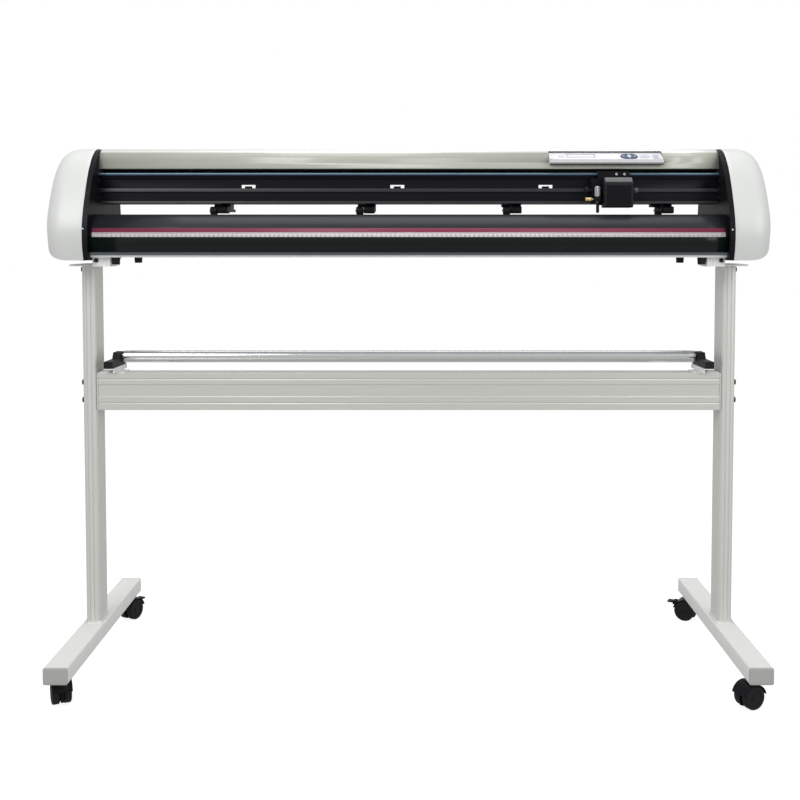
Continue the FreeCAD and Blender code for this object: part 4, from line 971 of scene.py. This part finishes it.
# ---- casters ----
def caster(name):
    refined("caster_hood_" + name, gloss_black, "caster_hood_" + name, bevel=0.9, slot="black_plastic")
    node = "caster_wheels_" + name
    centre, axle = caster_axle(name)
    width = 16.0
    radius = 25.0
    turn = Vector((0, 0, 1)).rotation_difference(axle).to_matrix()
    for side in (-1, 1):
        face = [(width / 2, 3.2), (width / 2 - 0.2, 8.0), (width / 2 - 1.6, 8.6), (width / 2 - 1.6, 16.4),
                (width / 2 - 0.1, 17.2), (width / 2, 18.2), (width / 2, radius - 3.2), (width / 2 - 0.8,
                                                                                        radius - 1.2),
                (width / 2 - 2.8, radius), (-width / 2 + 2.8, radius), (-width / 2 + 0.8, radius - 1.2),
                (-width / 2, radius - 3.2), (-width / 2, 3.2)]
        verts, faces = lathe_data([(side * along, r) for along, r in face], "Z", (0, 0, 0), 56)
        placed = []
        for v in verts:
            moved = turn @ (Vector(v) + Vector((0, 0, 11.5 * side)))
            placed.append(tuple(moved + centre))
        put("caster_tyre_%s_%s" % (name, "a" if side < 0 else "b"), placed, faces, tyre_rubber, node,
            [node],
            "tyre_black")
        hub, hub_faces = lathe_data([(side * 7.4, 0), (side * 7.9, 3.4), (side * 7.6, 5.2), (side * 6.2,
                                                                                             5.6)], "Z",
                                    (0, 0, 0), 28)
        placed = [tuple(turn @ (Vector(v) + Vector((0, 0, 11.5 * side))) + centre) for v in hub]
        put("caster_hubcap_%s_%s" % (name, "a" if side < 0 else "b"), placed, hub_faces, black_plastic,
            node, [node],
            "tyre_black")
    if name.startswith("rear"):
        brake = "caster_brake_" + name
        refined(brake, black_plastic, brake, bevel=0.8, slot="black_plastic")


def caster_axle(name):
    spin = next(joint for joint in frame["joints"] if joint["name"] == "caster_spin_" + name)
    return Vector(spin["pos_m"]) * 1000, Vector(spin["axis"])


# ---- the rest keeps its CAD outline, with soft edges ----
def plain_nodes():
    brackets = refined("stand_brackets", bracket_white, bevel=0.5, slot="painted_grey")
    brackets.data.materials.append(rail_aluminium)
    low, high = box_mm("crossbar")
    for face in brackets.data.polygons:
        if low.z - 5 < face.center.z * 1000 < high.z + 1 and abs(face.center.x) * 1000 > high.x - 1:
            face.material_index = 1
    refined("roll_cradles", black_plastic, bevel=0.8, slot="black_plastic")
    refined("fasteners", dark_steel, bevel=0.3, slot="dark_steel")
    refined("base_pan", pan_white, bevel=0.4, slot="painted_grey")
    refined("cutting_strip", strip_dark, bevel=0.1, slot="strip")
    refined("rubber_feet", foot_rubber, bevel=0.8, slot="tyre_black")
    refined("grit_shaft", steel, "feed_shaft", bevel=0.15, slot="steel")
    refined("feed_pinion", brass, "feed_pinion", bevel=0.1, slot="brass")
    refined("stepper_motors", dark_steel, bevel=0.4, slot="dark_steel")
    refined("drive_belt", belt_rubber, bevel=0.2, slot="belt")
    refined("drive_pulley", steel, "drive_pulley", bevel=0.15, slot="steel")
    refined("idler_pulley", steel, "idler_pulley", bevel=0.15, slot="steel")
    refined("electronics", board_green, bevel=0.15, slot="board")
    refined("power_inlet", black_plastic, bevel=0.4, slot="black_plastic")
    refined("power_switch", gloss_black, "power_switch", bevel=0.4, slot="black_plastic")


# ---- camera, lights and floor ----
FLOOR_SEEN = 0.88
FLOOR_BOUNCE = 0.30
ROOM_LIGHT = 0.60


def studio():
    camera_data = bpy.data.cameras.new("camera")
    camera_data.sensor_width = 36.0
    camera_data.lens = 49.28
    camera_data.shift_x = -0.0174
    camera_data.shift_y = -0.131
    camera = bpy.data.objects.new("camera", camera_data)
    camera.location = (0.0112, -2.483, 0.958)
    camera.rotation_euler = (math.radians(90 - 2.75), 0, 0)
    bpy.context.scene.collection.objects.link(camera)
    bpy.context.scene.camera = camera
    bpy.context.scene.view_settings.view_transform = "Standard"

    world = bpy.data.worlds.new("studio")
    bpy.context.scene.world = world
    world.use_nodes = True
    nodes = world.node_tree.nodes
    links = world.node_tree.links
    backdrop = nodes["Background"]
    backdrop.inputs["Color"].default_value = (1, 1, 1, 1)
    backdrop.inputs["Strength"].default_value = 1.0
    room = nodes.new("ShaderNodeBackground")
    room.inputs["Color"].default_value = (1, 1, 1, 1)
    room.inputs["Strength"].default_value = ROOM_LIGHT
    path = nodes.new("ShaderNodeLightPath")
    choose = nodes.new("ShaderNodeMixShader")
    links.new(path.outputs["Is Camera Ray"], choose.inputs["Fac"])
    links.new(room.outputs["Background"], choose.inputs[1])
    links.new(backdrop.outputs["Background"], choose.inputs[2])
    links.new(choose.outputs["Shader"], nodes["World Output"].inputs["Surface"])

    for name, place, aim, size, power in (("key", (-1.6, -2.4, 2.6), (0, 0, 0.9), 1.6, 42),
                                          ("fill", (2.2, -1.8, 1.8), (0, 0, 0.8), 1.6, 24),
                                          ("top", (0, 0.3, 3.2), (0, 0, 1), 2.4, 36)):
        light_data = bpy.data.lights.new(name, "AREA")
        light_data.shape = "SQUARE"
        light_data.size = size
        light_data.energy = power
        light = bpy.data.objects.new(name, light_data)
        light.location = place
        light.rotation_euler = (Vector(aim) - Vector(place)).to_track_quat("-Z", "Y").to_euler()
        bpy.context.scene.collection.objects.link(light)

    floor_mesh = bpy.data.meshes.new("floor")
    reach = 14.0
    floor_mesh.from_pydata([(-reach, -reach, 0), (reach, -reach, 0), (reach, reach, 0), (-reach, reach,
                                                                                         0)], [],
                           [[0, 1, 2, 3]])
    floor = bpy.data.objects.new("floor", floor_mesh)
    bpy.context.scene.collection.objects.link(floor)
    floor_white = finish("floor_white", (0.22, 0.22, 0.22), 0.9, vary=0.005, specular=0.0)
    glow = floor_white.node_tree.nodes["Principled BSDF"]
    glow.inputs["Emission Color"].default_value = (1, 1, 1, 1)
    seen = floor_white.node_tree.nodes.new("ShaderNodeLightPath")
    strength = floor_white.node_tree.nodes.new("ShaderNodeMapRange")
    strength.inputs["To Min"].default_value = FLOOR_BOUNCE
    strength.inputs["To Max"].default_value = FLOOR_SEEN
    floor_white.node_tree.links.new(seen.outputs["Is Camera Ray"], strength.inputs["Value"])
    floor_white.node_tree.links.new(strength.outputs["Result"], glow.inputs["Emission Strength"])
    floor_mesh.materials.append(floor_white)


def build():
    studio()
    for side in (-1, 1):
        foot(side)
        column(side)
        end_cover(side)
    crossbar()
    media_roller()
    side_plates()
    top_cover()
    platen()
    ruler()
    console()
    keys()
    beam()
    rail()
    carriage_box()
    carriage_truck()
    tool()
    for number, centre in enumerate(PINCH_CENTRES, 1):
        pinch_unit(number, centre)
    for name in ("front_left", "front_right", "rear_left", "rear_right"):
        caster(name)
    plain_nodes()


build()
